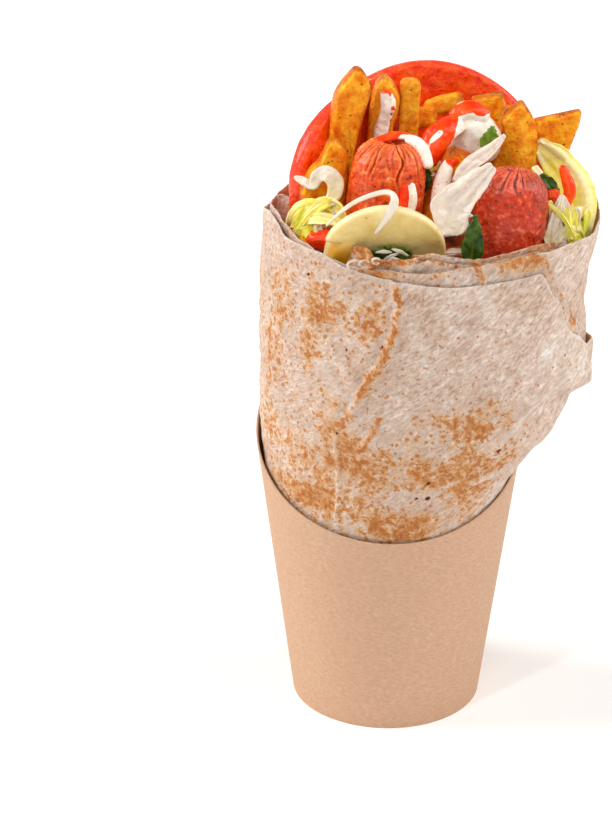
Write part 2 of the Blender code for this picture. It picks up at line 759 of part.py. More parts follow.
def fries():
    """The fried potato: broad wedges at the left, back and right, short sticks between them."""
    streak = bead("streak", [(-2.6, 9.6, 203.0), (-1.4, 8.6, 198.0), (-3.4, 8.0, 191.0),
                             (-4.2, 7.6, 185.5)], 2.8, MAYONNAISE)
    third = slab("fry_3", WEDGE_3, (-2.7, 13.0, 194.3), (0, -1, 0.08), (0, 0.08, 1), 7.4, POTATO)
    coat = bead("coat", [(16.2, -11.4, 187.8), (13.4, -15.8, 184.0), (11.4, -19.6, 177.0),
                         (11.2, -21.0, 170.5)], 3.0, MAYONNAISE, facing=(0, -1, 0.3))
    centre = stick("fry_11", (8.8, -15.8, 160.0), (20.6, -7.4, 189.6), 9.6, 9.0,
                   (0.1, -1, 0.3), tip_size=0.8, seed=21)
    return [
        slab("fry_1", WEDGE_1, (-13.8, 4.0, 194.8), (0.1, -1, 0.08), (0, 0.08, 1), 8.6, POTATO),
        slab("fry_2", WEDGE_2, (-21.3, -10.0, 181.9), (0.1, -1, 0.12), (0, 0.12, 1), 8.0, POTATO),
        fuse("fry_3", [third, streak], POTATO),
        stick("fry_4", (4.2, 12.0, 168.0), (5.6, 15.0, 205.0), 6.4, 6.0, tip_size=0.95, seed=14),
        stick("fry_5", (4.6, 18.6, 190.6), (14.6, 19.0, 191.6), 6.4, 6.0, (0, -1, 0.2),
              tip_size=0.9, seed=15),
        stick("fry_6", (10.6, 25.0, 192.0), (22.6, 24.0, 195.6), 5.4, 6.0, (0, -1, 0.2),
              tip_size=0.85, seed=16),
        slab("fry_7", WEDGE_7, (30.8, 19.0, 192.4), (0, -1, 0.08), (0, 0.08, 1), 6.6, POTATO),
        stick("fry_8", (38.4, 26.0, 170.0), (36.8, 25.0, 193.0), 4.6, 6.0, tip_size=0.9,
              seed=18),
        slab("fry_9", WEDGE_9, (37.9, 6.0, 187.2), (-0.05, -1, 0.1), (0, 0.1, 1), 8.0, POTATO),
        slab("fry_10", WEDGE_10, (51.5, 12.6, 188.5), (0, -1, 0.1), (0, 0.1, 1), 6.4, POTATO),
        fuse("fry_11", [centre, coat], POTATO),
    ]


def slices():
    """Tomato at the back and left, and the piece that shows over the left front rim."""
    front = stick("tomato_front", (-31.5, -22.5, 167.6), (-17.5, -31.0, 168.4), 7.0, 6.0,
                  (0, -0.5, 1), tip_size=0.7, seed=24)
    front.data.materials.clear()
    front.data.materials.append(TOMATO)
    return [
        slab("tomato_back", disc_outline(39.5, 24, 0.008, -12.0, 204.0), (11.5, 34.6, 164.2),
             (0.0, -0.985, 0.17), (0, 0.17, 0.985), 6.0, TOMATO),
        slab("tomato_left", disc_outline(28.0, 18, 0.012, -25.0, 230.0), (-10.6, 12.0, 173.0),
             (0.7, -0.7, 0.1), (0.0, 0.12, 0.99), 6.0, TOMATO),
        front,
    ]


def sauce_dollop():
    """Mayonnaise heaped between the sausages and the fries, with ketchup run over it."""
    dollop = blob("dollop", (25.0, 5.2, 187.6), (8.8, 5.6, 8.6), MAYONNAISE, 5, 0.08)
    cap = bead("cap", [(18.0, 4.6, 195.4), (23.0, 5.4, 198.0), (29.5, 4.6, 195.8)], 3.3, TOMATO,
               facing=(0, -0.6, 1))
    stream = bead("stream", [(21.0, 2.6, 195.0), (15.5, -0.5, 193.0), (11.6, -3.8, 189.0),
                             (9.6, -6.4, 183.5)], 4.4, TOMATO, steps=7, facing=(0, -0.8, 1))
    return fuse("sauce_dollop", [dollop, cap, stream], MAYONNAISE)


def leaves():
    """Single leaves and shreds of cabbage and lettuce, and what lies among them."""
    return [
        ribbon("cabbage_leaf_centre", [(28.8, -24.0, 189.5), (21.1, -28.4, 183.4),
                                       (16.3, -31.0, 178.2), (17.0, -34.0, 171.3)],
               (3.2, 8.6, 12.5, 7.5), (0.2, -1, 0.35), CABBAGE, 1.2, 8, 0.3, 8.0, 0.3, 3),
        ribbon("cabbage_strip_centre", [(33.4, -8.0, 194.0), (28.7, -12.0, 190.6),
                                        (22.5, -16.0, 187.2), (18.0, -19.0, 182.5)],
               (1.0, 3.0, 4.2, 4.6, 2.5), (0.2, -1, 0.5), CABBAGE, 1.1, 7, 0.2, 10.0),
        ribbon("cabbage_curl_left", [(-30.3, -15.0, 183.2), (-27.6, -16.0, 182.2),
                                     (-24.6, -17.5, 181.4), (-23.1, -18.0, 184.4),
                                     (-20.4, -18.6, 185.3), (-18.0, -19.4, 183.0),
                                     (-18.2, -20.4, 179.6), (-20.5, -21.4, 177.0)],
               (1.0, 2.5, 3.0, 4.0, 4.8, 5.0, 4.4, 2.2), (0, -1, 0.5), CABBAGE, 1.1, 12, 0.2),
        ribbon("cabbage_strand", [(-20.8, -36.0, 175.0), (-16.2, -38.4, 180.4),
                                  (-11.4, -39.6, 184.2), (-5.5, -40.6, 186.8),
                                  (-2.0, -42.4, 187.4), (-1.0, -44.6, 185.6),
                                  (-2.6, -44.0, 181.6), (-4.2, -42.8, 178.4),
                                  (-6.5, -41.4, 174.6)], (1.2, 2.0, 2.2, 2.2, 2.4, 2.2, 1.2),
               (0, -1, 0.4), CABBAGE, 1.1, 16, 0.0, 0.0, 0.0, 1),
        salad_left(),
        serrated_leaf("herb_right", (44.4, -12.5, 183.2), (50.4, -14.0, 174.6), 4.6,
                      (0.1, -1, 0.3), 3, 0.6),
        bead("ketchup_drip", [(51.4, -9.0, 182.0), (53.4, -11.0, 176.6), (52.0, -13.4, 172.6),
                              (55.0, -15.5, 168.0)], 1.9, TOMATO, facing=(0, -1, 0.4)),
        stick("tomato_bit", (46.0, -15.6, 177.2), (50.0, -15.6, 178.0), 3.4, 2.6,
              (0, -1, 0.4), tip_size=0.8, seed=26),
        salad_right(),
        ribbon("lettuce_leaf_right", [(44.6, 6.5, 187.0), (51.0, 3.4, 181.2),
                                      (55.8, -2.6, 174.2), (57.0, -9.0, 166.0),
                                      (55.2, -11.0, 157.0)], (4.0, 10.0, 12.8, 11.0, 4.0),
               (-0.35, -0.9, 0.35), LETTUCE, 1.2, 10, 0.3, -12.0, 0.5, 3),
        serrated_leaf("herb_front", (22.0, -37.0, 161.5), (23.4, -34.6, 178.0), 6.8,
                      (0, -1, 0.2), 4, 0.8),
        serrated_leaf("herb_gherkin", (-8.6, -40.4, 167.4), (4.6, -40.4, 167.8), 5.0,
                      (0, -1, 0.1), 4, 1.2),
        serrated_leaf("herb_sauce", (30.4, -2.4, 184.0), (32.8, 0.4, 192.0), 5.6,
                      (0.1, -1, 0.3), 3, 0.5),
        serrated_leaf("herb_middle", (8.6, -13.2, 177.0), (9.8, -11.4, 187.0), 4.6,
                      (0, -1, 0.2), 3, 0.3),
    ]


def sausages():
    """The two frankfurters, the left one with sauce on its tip and down its front."""
    left = sausage("sausage_left", (-0.8, -15.0, 193.4), (-5.0, -16.0, 158.0), 11.4, 3)
    arc = bead("arc", [(3.0, -14.5, 195.2), (7.6, -15.5, 193.0), (10.2, -19.0, 187.0)], 2.3,
               MAYONNAISE, facing=(0.3, -0.5, 1))
    drip = bead("drip", [(3.9, -25.0, 184.5), (4.2, -26.0, 179.5), (2.4, -26.6, 174.5)], 2.4,
                MAYONNAISE, flat=0.7)
    return [fuse("sausage_left", [left, arc, drip], SAUSAGE),
            sausage("sausage_right", (36.2, -18.6, 185.6), (31.8, -23.0, 150.0), 11.3, 8)]


def salad_left():
    """The left-hand tuft of cabbage and lettuce: a low lump with shreds fused to it."""
    parts = [blob("lump", (-23.0, -24.0, 168.5), (8.5, 5.5, 6.0), LETTUCE, 31, 0.1, 1)]
    runs = [
        [(-32.0, -18.0, 168.0), (-29.5, -22.5, 174.6), (-24.0, -25.0, 177.4),
         (-18.5, -25.0, 173.0)],
        [(-30.0, -21.0, 168.5), (-25.5, -27.0, 174.2), (-18.5, -28.0, 173.5),
         (-14.5, -27.5, 169.0)],
        [(-29.0, -18.0, 170.0), (-23.0, -20.5, 176.5), (-17.0, -23.5, 176.0),
         (-14.8, -25.5, 170.0)],
        [(-29.5, -23.0, 167.5), (-25.0, -26.0, 175.6), (-20.5, -25.0, 178.2),
         (-19.0, -21.0, 173.0)],
    ]
    for index, run in enumerate(runs):
        broad = 4.8 - 0.4 * index
        parts.append(ribbon("shred", run, (0.5 * broad, broad, 0.5 * broad), (0.1, -1, 0.6),
                            LETTUCE, 1.1, 5, 0.25, 30.0 * (-1) ** index, 0.5, 1))
    return fuse("salad_left", parts, LETTUCE)


def salad_right():
    """The right-hand tuft: an A of pale shreds, curls at its foot and a low lump behind."""
    parts = [blob("lump", (51.5, -16.5, 167.0), (6.5, 8.0, 6.0), LETTUCE, 41, 0.1, 1)]
    runs = [
        [(50.0, -20.0, 178.4), (48.2, -23.0, 173.8), (46.8, -25.5, 167.0), (47.5, -24.5, 161.0)],
        [(49.6, -19.6, 178.8), (52.0, -21.5, 174.0), (54.4, -22.0, 168.5), (54.5, -20.0, 162.0)],
        [(47.8, -26.5, 165.8), (51.0, -25.5, 168.8), (54.5, -23.0, 168.0), (56.0, -18.5, 164.5)],
        [(51.0, -20.0, 170.5), (55.5, -17.5, 173.0), (58.0, -13.5, 170.0), (56.5, -9.5, 164.5)],
        [(42.6, -8.0, 184.0), (44.5, -10.5, 181.0), (47.0, -13.0, 176.5), (50.5, -15.0, 169.0)],
    ]
    for index, run in enumerate(runs):
        broad = 3.4 + 0.5 * (index % 3)
        parts.append(ribbon("shred", run, (0.5 * broad, broad, 0.5 * broad), (0.1, -1, 0.5),
                            CABBAGE, 1.1, 5, 0.25, 25.0 * (-1) ** index, 0.4, 1))
    return fuse("salad_right", parts, LETTUCE)


def gherkin():
    """A round slice that stands before the left sausage and leans a little to the front."""
    return slab("gherkin_slice", disc_outline(18.0, 26, 0.01), (-3.5, -36.0, 166.8),
                (0.0, -0.92, -0.39), (0, -0.39, 0.92), 3.0, GHERKIN)


def build():
    """Place the pieces in order, each trimmed to those before it, and the filling last."""
    cup = paper_cup()
    bread = lavash()
    placed = [bread]
    for piece in sausages() + [gherkin()] + fries() + slices() + [sauce_dollop()] + leaves():
        trim(piece, placed)
        placed.append(piece)
    core = filling_core()
    trim(core, placed[1:])
    trim(core, [bread], CLEARANCE + 0.15)
    centre_on_origin([cup, core] + placed)


def centre_on_origin(pieces):
    """Move the parent so that the origin lies under the middle of the whole."""
    boxes = [box_of(piece) for piece in pieces]
    for axis in (0, 1):
        low = min(box[0][axis] for box in boxes)
        high = max(box[1][axis] for box in boxes)
        root.location[axis] = -(low + high) / 2
    bpy.context.view_layer.update()


build()
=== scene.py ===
"""Looks of a flatbread wrap with frankfurters, fries and salad in a slant-cut paper cup.

Shapes are written in millimetres about the cup's axis, as in the part's source, and move to the
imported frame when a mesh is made. Angles round the wrap start at the front (-Y) and grow towards
+X, the right-hand side. A piece follows the form of the solid that it replaces. Only the herb leaf
on the sauce stands about 5 mm from its solid, as the photo shows it.
"""
import math
import random

import bmesh
import bpy
import numpy as np
from mathutils import Matrix, Vector, noise


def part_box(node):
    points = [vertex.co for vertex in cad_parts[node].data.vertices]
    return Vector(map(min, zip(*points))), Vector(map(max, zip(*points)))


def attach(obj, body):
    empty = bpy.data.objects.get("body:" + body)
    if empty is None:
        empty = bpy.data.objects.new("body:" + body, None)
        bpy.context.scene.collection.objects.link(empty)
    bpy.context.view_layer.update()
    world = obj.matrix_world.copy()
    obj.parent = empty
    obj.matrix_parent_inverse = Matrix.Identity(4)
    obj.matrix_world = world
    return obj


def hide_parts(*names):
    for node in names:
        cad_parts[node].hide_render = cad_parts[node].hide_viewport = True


MM = 0.001

CUP_BOTTOM_RADIUS = 31.0
CUP_TAPER = 0.129
CUP_BOARD = 0.6
CUP_RECESS = 7.0
CUP_FRONT_HEIGHT = 71.6
CUP_RIM_SLOPE = 0.476
CUP_FRONT_RADIUS = 40.2

BREAD_BOTTOM = 9.0
BREAD_TOP = 170.0
BREAD_CENTRE_X = 13.1
BREAD_HALF_WIDTH = 51.9
BREAD_HALF_DEPTH = 48.6
BREAD_SQUARENESS = 2.15
BREAD_ROUND_TOP = 22.0
BREAD_WALL = 1.8
OUTER_SHEET = 2.1
SHEET_END = 0.8
BULGE = 5.6
BULGE_TOP = 141.0
CREASE_DROP = 6.0
MM_PER_DEGREE = 0.8
SKIN_GAP = 0.4
LIMIT_LOW, LIMIT_HIGH = 9, 175
HELD_BELOW = 171.0
FILLING_GAP = 0.65
FILLING_EDGE = 148.0
MESH_STEP = 0.4
FRONT = (0, -1, 0)

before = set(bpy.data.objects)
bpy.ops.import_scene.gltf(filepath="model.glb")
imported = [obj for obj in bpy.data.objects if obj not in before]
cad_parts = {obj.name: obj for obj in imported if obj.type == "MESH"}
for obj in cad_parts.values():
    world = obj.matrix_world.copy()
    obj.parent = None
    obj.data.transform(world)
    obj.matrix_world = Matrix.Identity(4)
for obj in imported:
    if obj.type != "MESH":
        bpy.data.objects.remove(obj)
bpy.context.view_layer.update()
cup_low, cup_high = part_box("paper_cup")
AXIS = np.array([(cup_low.x + cup_high.x) / 2, cup_low.y + CUP_FRONT_RADIUS * MM, 0.0])
scene = bpy.context.scene


# Numbers and curves

def ease(value):
    """A smooth step from 0 to 1, for values held to that range."""
    value = np.clip(value, 0.0, 1.0)
    return value * value * (3.0 - 2.0 * value)


def waves(points, size, seed):
    """Smooth noise from -1 to 1 at each point, with features about size millimetres across."""
    move = Vector((seed * 7.31, seed * 3.17, seed * 1.93))
    return np.array([noise.fractal(Vector(point) / size + move, 0.9, 2.1, 2)
                     for point in points.tolist()])


def curve_point(controls, t):
    """A point on the smooth curve through the control points, with t from 0 to 1."""
    spans = len(controls) - 1
    index = min(int(t * spans), spans - 1)
    local = t * spans - index
    before = Vector(controls[max(index - 1, 0)])
    start = Vector(controls[index])
    end = Vector(controls[index + 1])
    after = Vector(controls[min(index + 2, spans)])
    tangent_a = (end - before) * 0.5
    tangent_b = (after - start) * 0.5
    square = local * local
    cube = square * local
    return (start * (2 * cube - 3 * square + 1) + tangent_a * (cube - 2 * square + local)
            + end * (3 * square - 2 * cube) + tangent_b * (cube - square))


def curve_length(controls, chords=20):
    return sum((curve_point(controls, (k + 1) / chords) - curve_point(controls, k / chords)).length
               for k in range(chords))


def curve_ahead(controls, t, reach=0.02):
    """The direction of the curve at t, between the points a little before and after."""
    return curve_point(controls, min(1.0, t + reach)) - curve_point(controls, max(0.0, t - reach))


def frame_along(direction, facing):
    """Unit vectors across and out of a piece that runs along direction and faces facing."""
    along = Vector(direction).normalized()
    across = along.cross(Vector(facing)).normalized()
    return along, across, across.cross(along).normalized()


# Meshes

def make(name, points, faces, surface, nodes, slot, paint=None, sharp=50.0):
    """A piece from points in millimetres, riding on the part and replacing the nodes named."""
    mesh = bpy.data.meshes.new(name)
    mesh.from_pydata((np.asarray(points, float) * MM + AXIS).tolist(), [], faces)
    if paint is not None:
        colours = np.zeros((len(points), 4), np.float32)
        colours[:, 3] = 1.0
        for channel, values in enumerate(paint):
            colours[:, channel] = values
        layer = mesh.color_attributes.new("paint", "FLOAT_COLOR", "POINT")
        layer.data.foreach_set("color", colours.ravel())
    shape = bmesh.new()
    shape.from_mesh(mesh)
    bmesh.ops.recalc_face_normals(shape, faces=shape.faces)
    shape.to_mesh(mesh)
    shape.free()
    mesh.shade_smooth()
    mesh.set_sharp_from_angle(angle=math.radians(sharp))
    mesh.materials.append(surface)
    made = bpy.data.objects.new(name, mesh)
    scene.collection.objects.link(made)
    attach(made, "root")
    if nodes:
        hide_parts(*nodes)


def grid_faces(rows, columns, around=False):
    """The four-sided faces of a grid of points, closed round its columns if asked."""
    faces = []
    for row in range(rows - 1):
        for column in range(columns if around else columns - 1):
            beside = (column + 1) % columns
            faces.append((row * columns + column, row * columns + beside,
                          (row + 1) * columns + beside, (row + 1) * columns + column))
    return faces


def normals_of(grid, around=False):
    """Unit normals of a grid of points, rows by columns."""
    down = np.gradient(grid, axis=0)
    if around:
        side = (np.roll(grid, -1, axis=1) - np.roll(grid, 1, axis=1)) / 2
    else:
        side = np.gradient(grid, axis=1)
    normal = np.cross(side, down)
    return normal / np.maximum(np.linalg.norm(normal, axis=2, keepdims=True), 1e-9)


def thick_grid(grid, thickness, around=False, edge=0.35):
    """Points and faces of a thin closed sheet about a grid, thinner along its open edges."""
    rows, columns = grid.shape[:2]
    normal = normals_of(grid, around)
    row = np.minimum(np.arange(rows), np.arange(rows)[::-1])[:, None]
    column = np.minimum(np.arange(columns), np.arange(columns)[::-1])[None, :]
    inward = row + 0 * column if around else np.minimum(row, column)
    half = thickness / 2 * np.where(inward == 0, edge, np.where(inward == 1, 0.8, 1.0))
    front = (grid + normal * half[..., None]).reshape(-1, 3)
    back = (grid - normal * half[..., None]).reshape(-1, 3)
    count = rows * columns
    faces = grid_faces(rows, columns, around)
    faces += [tuple(count + corner for corner in face[::-1]) for face in faces]
    rim = []
    if around:
        for first in (0, (rows - 1) * columns):
            rim.append([first + k for k in range(columns)] + [first])
    else:
        rim.append(list(range(columns)) + [row * columns + columns - 1 for row in range(1, rows)]
                   + [(rows - 1) * columns + k for k in range(columns - 2, -1, -1)]
                   + [row * columns for row in range(rows - 2, -1, -1)])
    for loop in rim:
        faces += [(a, b, count + b, count + a) for a, b in zip(loop, loop[1:])]
    return np.concatenate([front, back]), faces


def both_skins(values):
    """Values of a grid, once for the front and once for the back of its sheet."""
    return np.concatenate([values.ravel()] * 2)


def ring_skin(rings):
    """Points and faces of a closed skin over equal rings, each end drawn to its middle."""
    rows, columns = len(rings), len(rings[0])
    grid = np.asarray(rings, float)
    points = grid.reshape(-1, 3)
    faces = grid_faces(rows, columns, True)
    ends = np.array([grid[0].mean(0), grid[-1].mean(0)])
    for first, centre in ((0, len(points)), ((rows - 1) * columns, len(points) + 1)):
        faces += [(first + k, first + (k + 1) % columns, centre) for k in range(columns)]
    return np.concatenate([points, ends]), faces


# Bread surface, as in the part's source, but with a softer crease under the flap (CREASE_DROP)

def cup_radius(height):
    """Outer radius of the cup's cone."""
    return CUP_BOTTOM_RADIUS + CUP_TAPER * height


def rim_height(y):
    """Height of the slanted rim, lowest at the front."""
    return CUP_FRONT_HEIGHT + CUP_RIM_SLOPE * (y + CUP_FRONT_RADIUS)


def line_height(angle, knots):
    """Height at each angle on the eased line through (angle, height) knots."""
    angle = np.asarray(angle, float)
    turns = np.array([knot[0] for knot in knots], float)
    heights = np.array([knot[1] for knot in knots], float)
    index = np.clip(np.searchsorted(turns, angle) - 1, 0, len(knots) - 2)
    part = np.clip((angle - turns[index]) / (turns[index + 1] - turns[index]), 0.0, 1.0)
    return heights[index] + (heights[index + 1] - heights[index]) * (0.5 * ease(part) + 0.5 * part)


def grip_height(cosine):
    """The height just under the cup's rim, where the cup lets go of the bread."""
    return rim_height(CUP_FRONT_RADIUS * cosine) - 1.2


def cup_slack(sine):
    """Room in millimetres between the bread and the cup's wall."""
    return np.clip(3.1 - 1.6 * sine, 1.9, 3.2)


def bread_point(angle, height, offset=0.0):
    """Points of the rolled bread at angles in degrees and heights, offset outwards."""
    turn = np.radians(angle)
    sine, cosine = np.sin(turn), -np.cos(turn)
    grip = grip_height(cosine)
    narrow = cup_radius(np.minimum(height, grip)) - CUP_BOARD - cup_slack(sine)
    drop = np.clip((BREAD_ROUND_TOP - height) / (BREAD_ROUND_TOP - BREAD_BOTTOM + 0.5), 0.0, 1.0)
    narrow = narrow - 4.5 * (1.0 - np.sqrt(1.0 - drop ** 2))
    lift = np.clip((height - grip) / (BREAD_TOP - grip), 0.0, 1.0)
    steady = 1.0 - (1.0 - lift) ** 1.7
    leaning = 0.46 * ease(lift / 0.33) + 0.54 * lift
    spread = steady + (leaning - steady) * np.maximum(0.0, sine)
    stretch = (np.abs(sine) ** BREAD_SQUARENESS + np.abs(cosine) ** BREAD_SQUARENESS) \
        ** (-1.0 / BREAD_SQUARENESS)
    wide_x = BREAD_CENTRE_X + (BREAD_HALF_WIDTH + offset) * sine * stretch
    wide_y = (BREAD_HALF_DEPTH + offset) * cosine * stretch
    x = (1.0 - spread) * (narrow + offset) * sine + spread * wide_x
    y = (1.0 - spread) * (narrow + offset) * cosine + spread * wide_y
    return np.stack([x, y, height + 0.0 * x], axis=-1)


CREASE_LINE = [(15, 106), (31, 115), (42, 121.5), (52, 124), (65, 119.5), (80, 115), (110, 112)]
RIM_LINE = [(-180, 167), (-140, 166.5), (-110, 169), (-73, 172), (-50, 168), (-30, 164.5),
            (0, 164.5), (45, 168), (75, 166.8), (93, 167.5), (112, 170.8), (140, 170), (180, 167)]
OUTER_LINE = [(-165, 161), (-120, 163), (-92, 168), (-73, 172.2), (-56, 168.8), (-41, 168.2),
              (-30, 164.5), (-18, 162.6), (0, 161.4), (16, 161.4), (34, 162), (41, 153.5),
              (55, 138), (70, 130), (100, 124)]
SECOND_LINE = [(-34, 160), (-26, 164.6), (-5, 165.1), (10, 167), (32, 168.4), (35.5, 166.5),
               (44, 154.5), (54, 146), (62, 140)]
THIRD_LINE = [(-12, 166), (-4, 168.6), (4, 167.4), (13, 166.8), (32, 168.1), (42, 167.6)]
FOURTH_LINE = [(-10, 169.2), (-3, 170.2), (9, 168.1), (15, 168), (35, 169.6), (48, 168.6)]
TAB_LINE = [(-33, 165), (-31.5, 169.8), (-29, 170.8), (-25, 171.4), (-23.4, 170.8), (-22, 167.6),
            (-18, 167.2), (-14, 168.4), (-8, 169)]


def bulge(angle, height):
    """How far the flap at the right stands out over its crease."""
    crease = line_height(angle, CREASE_LINE)
    reach = BULGE * ease((angle - 22.0) / 52.0) * ease((130.0 - angle) / 35.0)
    under = ease(1.0 - (crease - height) / CREASE_DROP)
    over = np.maximum(0.0, (BULGE_TOP - height) / (BULGE_TOP - crease)) ** 0.7
    return reach * np.where(height < crease, under, over)


def folds(angle, height):
    """Broad waves and creases of the bread, in millimetres outwards."""
    turn = np.radians(angle)
    wave = 0.5 * np.sin(3.0 * turn + 0.05 * height) + 0.35 * np.sin(7.0 * turn - 0.07 * height)
    lean_in = -2.4 * ease((height - 148.0) / 20.0) * ease((-76.0 - angle) / 26.0) \
        * ease((angle + 172.0) / 30.0)
    return ease((height - 84.0) / 30.0) * wave + bulge(angle, height) + lean_in


def outer_offset(angle, height):
    """How far the outer sheet stands off the roll: its full lap, but less where the cup holds it."""
    turn = np.radians(angle)
    free = SHEET_END + (OUTER_SHEET - SHEET_END) * ease((angle + 165.0) / 60.0)
    held = np.minimum(free, cup_slack(np.sin(turn)) - 0.6)
    return held + (free - held) * ease((height - grip_height(-np.cos(turn))) / 16.0)


# Creases as (points of angle and height, height in mm, width in mm, browning)
CREASES = [
    ([(-14.5, 161.5), (-12.6, 154), (-13.6, 146), (-15.5, 138), (-20, 130), (-24.8, 121),
      (-26.5, 116)], 1.0, 1.1, 0.9),
    ([(-15, 117), (-18, 110), (-21.5, 104.5)], 0.7, 1.1, 0.7),
    ([(-31.5, 108), (-31, 103), (-28.6, 92.6), (-27, 78), (-26, 71)], 0.6, 0.7, -0.2),
    ([(26, 92), (31, 94.2), (36, 94), (44, 96.5)], 0.7, 1.1, -0.5),
    ([(-40, 158), (-35, 150), (-27, 146), (-22, 141)], 0.6, 2.2, 0.0),
    ([(-47, 147), (-38, 139), (-30, 132), (-24, 124)], 0.7, 2.0, 0.0),
    ([(-40, 131), (-32, 124), (-24, 117.5)], 0.6, 1.8, -0.4),
    ([(-8, 127), (4, 121), (18, 119), (27, 121)], 0.35, 2.4, 0.0),
    ([(-6, 146), (6, 150), (20, 151), (30, 155)], 0.3, 2.4, 0.0),
    ([(2, 133), (16, 138), (30, 140), (44, 141)], 0.35, 2.2, 0.0),
    ([(33, 109), (38, 114.5), (47, 121), (52, 125)], 0.4, 1.1, -0.7),
    ([(38, 127), (42, 135), (46, 141)], 0.35, 1.2, -0.5),
    ([(-75, 160), (-66, 150), (-60, 139)], 0.6, 2.4, 0.0),
    ([(-82, 140), (-70, 131), (-62, 120)], 0.6, 2.2, 0.0),
    ([(66, 140), (80, 146), (96, 142)], 0.5, 2.6, 0.0),
    ([(62, 100), (76, 104), (92, 103)], 0.5, 2.2, 0.0),
    ([(-120, 150), (-104, 138), (-96, 120)], 0.6, 2.6, 0.0),
    ([(-150, 140), (-140, 126), (-128, 118)], 0.6, 2.6, 0.0),
    ([(120, 160), (136, 146), (150, 140), (170, 142)], 0.6, 2.8, 0.0),
]

# Griddle browning, with a painted shade over the middle of the front, as (angle, height, half width, half
# height, strength)
BROWNING_AND_SHADE = [
    (3, 112, 15, 8.5, 0.9), (-7, 98.5, 21, 9, 0.9), (22, 115.5, 15, 8, 1.2), (21, 98, 18, 13, 1.25),
    # (8, 130) and (0, 150) on this line are a painted shade over the middle of the front, not browning.
    (4, 77, 21, 7.5, 1.6), (8, 130, 26, 18, 0.22), (0, 150, 14, 12, 0.12), (-41.5, 153, 7, 9, 0.9),
    (-44, 137, 6, 10, 0.9), (-29, 148.5, 13, 7, 0.6), (-20, 148, 5, 10, 0.6), (-34, 116, 10, 9, 0.6),
    (-50, 100.5, 9, 8, 0.4), (-38.5, 93.5, 7, 12, 0.3), (-46, 84, 18, 5, 1.0), (-27, 95, 8, 11, 0.3),
    (-31, 107, 9, 7, 0.7), (-60, 150, 9, 12, 0.7), (-66, 128, 9, 14, 0.7), (-70, 106, 10, 12, 0.6),
    (33, 84, 12, 10, 0.7), (40, 106, 9, 10, 0.6), (-95, 140, 16, 14, 0.8), (-120, 150, 16, 12, 0.7),
    (-110, 118, 18, 10, 0.7), (-150, 135, 18, 16, 0.8), (75, 150, 10, 8, 0.5), (92, 130, 14, 10, 0.8),
    (120, 145, 16, 16, 0.8), (150, 155, 18, 9, 0.7), (165, 125, 16, 14, 0.7), (70, 100, 14, 10, 0.6),
    (-16, 84, 9, 7, 0.6), (-30, 83, 8, 8, 0.5),
]

# The same on the sheets that show along the rim
SECOND_BROWN = [(27, 166.5, 9, 4.5, 1.5), (58.5, 143, 5, 6, 1.5), (37, 160, 5, 7, 0.9),
                (48, 150, 5, 6, 0.8), (0, 163, 10, 3, 0.5), (-22, 163, 8, 3, 0.6)]
THIRD_BROWN = [(-4, 168, 8, 2.5, 0.7), (18, 167.5, 10, 2.0, 0.5), (38, 168, 8, 3.0, 0.9)]
TAB_BROWN = [(-29, 170, 5, 2.5, 1.5), (-20, 167, 7, 2.5, 1.4), (-12, 168, 5, 2.5, 0.7)]
FOLD_CREASE = ([(10.5, 167.5), (12.5, 163.5), (13.0, 161.0)], 0.8, 0.9, 0.9)

# Small burnt dots as (angle, height, radius)
BURNT = [(7.5, 94, 0.8), (4.5, 88.5, 0.7), (9, 88.5, 0.9), (30.5, 104, 0.8), (-8, 104.5, 0.6),
         (9, 109.5, 0.6), (49.5, 132.5, 0.7), (28, 117, 0.6), (-21, 113, 0.5), (-31, 109, 0.6),
         (-17, 141, 0.6), (-45, 160, 0.7), (-30, 138, 0.6), (58, 140, 0.6)]


def distance_to_line(angle, height, line):
    """Distance in millimetres on the unrolled bread from points to a line of (angle, height)."""
    x, y = angle * MM_PER_DEGREE, height
    best = np.full(angle.shape, 1e9)
    for (a0, h0), (a1, h1) in zip(line, line[1:]):
        x0, x1 = a0 * MM_PER_DEGREE, a1 * MM_PER_DEGREE
        length = (x1 - x0) ** 2 + (h1 - h0) ** 2
        t = np.clip(((x - x0) * (x1 - x0) + (y - h0) * (h1 - h0)) / length, 0.0, 1.0)
        best = np.minimum(best, np.hypot(x - x0 - t * (x1 - x0), y - h0 - t * (h1 - h0)))
    return best


def bread_detail(angle, height, points, brown):
    """Small relief in millimetres, and the toast with painted shade, pale and burnt values that colour
    it.
    """
    shape = angle.shape
    flat = points.reshape(-1, 3)
    wobble = waves(flat, 9.0, 3).reshape(shape)
    relief = 0.42 * wobble + 0.26 * waves(flat, 3.6, 5).reshape(shape)
    own = brown is BROWNING_AND_SHADE
    toast_and_shade = 0.30 * ease((-6.0 - angle) / 14.0) * ease((angle + 178.0) / 20.0) \
        + 0.2 * ease((112.0 - height) / 14.0) + 0.25 * ease((angle - 62.0) / 20.0)
    pale = np.zeros(shape)
    for line, high, width, browning in (CREASES if own else [FOLD_CREASE]):
        away = distance_to_line(angle + 0.9 * wobble, height + 0.9 * wobble, line)
        near = np.exp(-(away / width) ** 2)
        relief += high * near - 0.35 * high * np.exp(-((away - 1.9 * width) / width) ** 2)
        toast_and_shade += max(0.0, browning) * 1.3 * np.exp(-(away / (0.75 * width)) ** 2) \
            * (0.9 + 0.3 * wobble)
        pale += max(0.0, -browning) * near
    for a, h, wide, tall, strength in brown:
        reach = np.hypot((angle - a) / wide, (height - h) / tall) + 0.22 * wobble
        toast_and_shade += 0.55 * strength * ease(1.35 - reach)
    burnt = np.zeros(shape)
    for a, h, radius in (BURNT if own else []):
        away = np.hypot((angle - a) * MM_PER_DEGREE, height - h)
        burnt = np.maximum(burnt, 1.0 - away / 3.0 + (radius - 0.75) / 3.0)
    return relief, np.clip(toast_and_shade, 0, 1), np.clip(pale, 0, 1), burnt


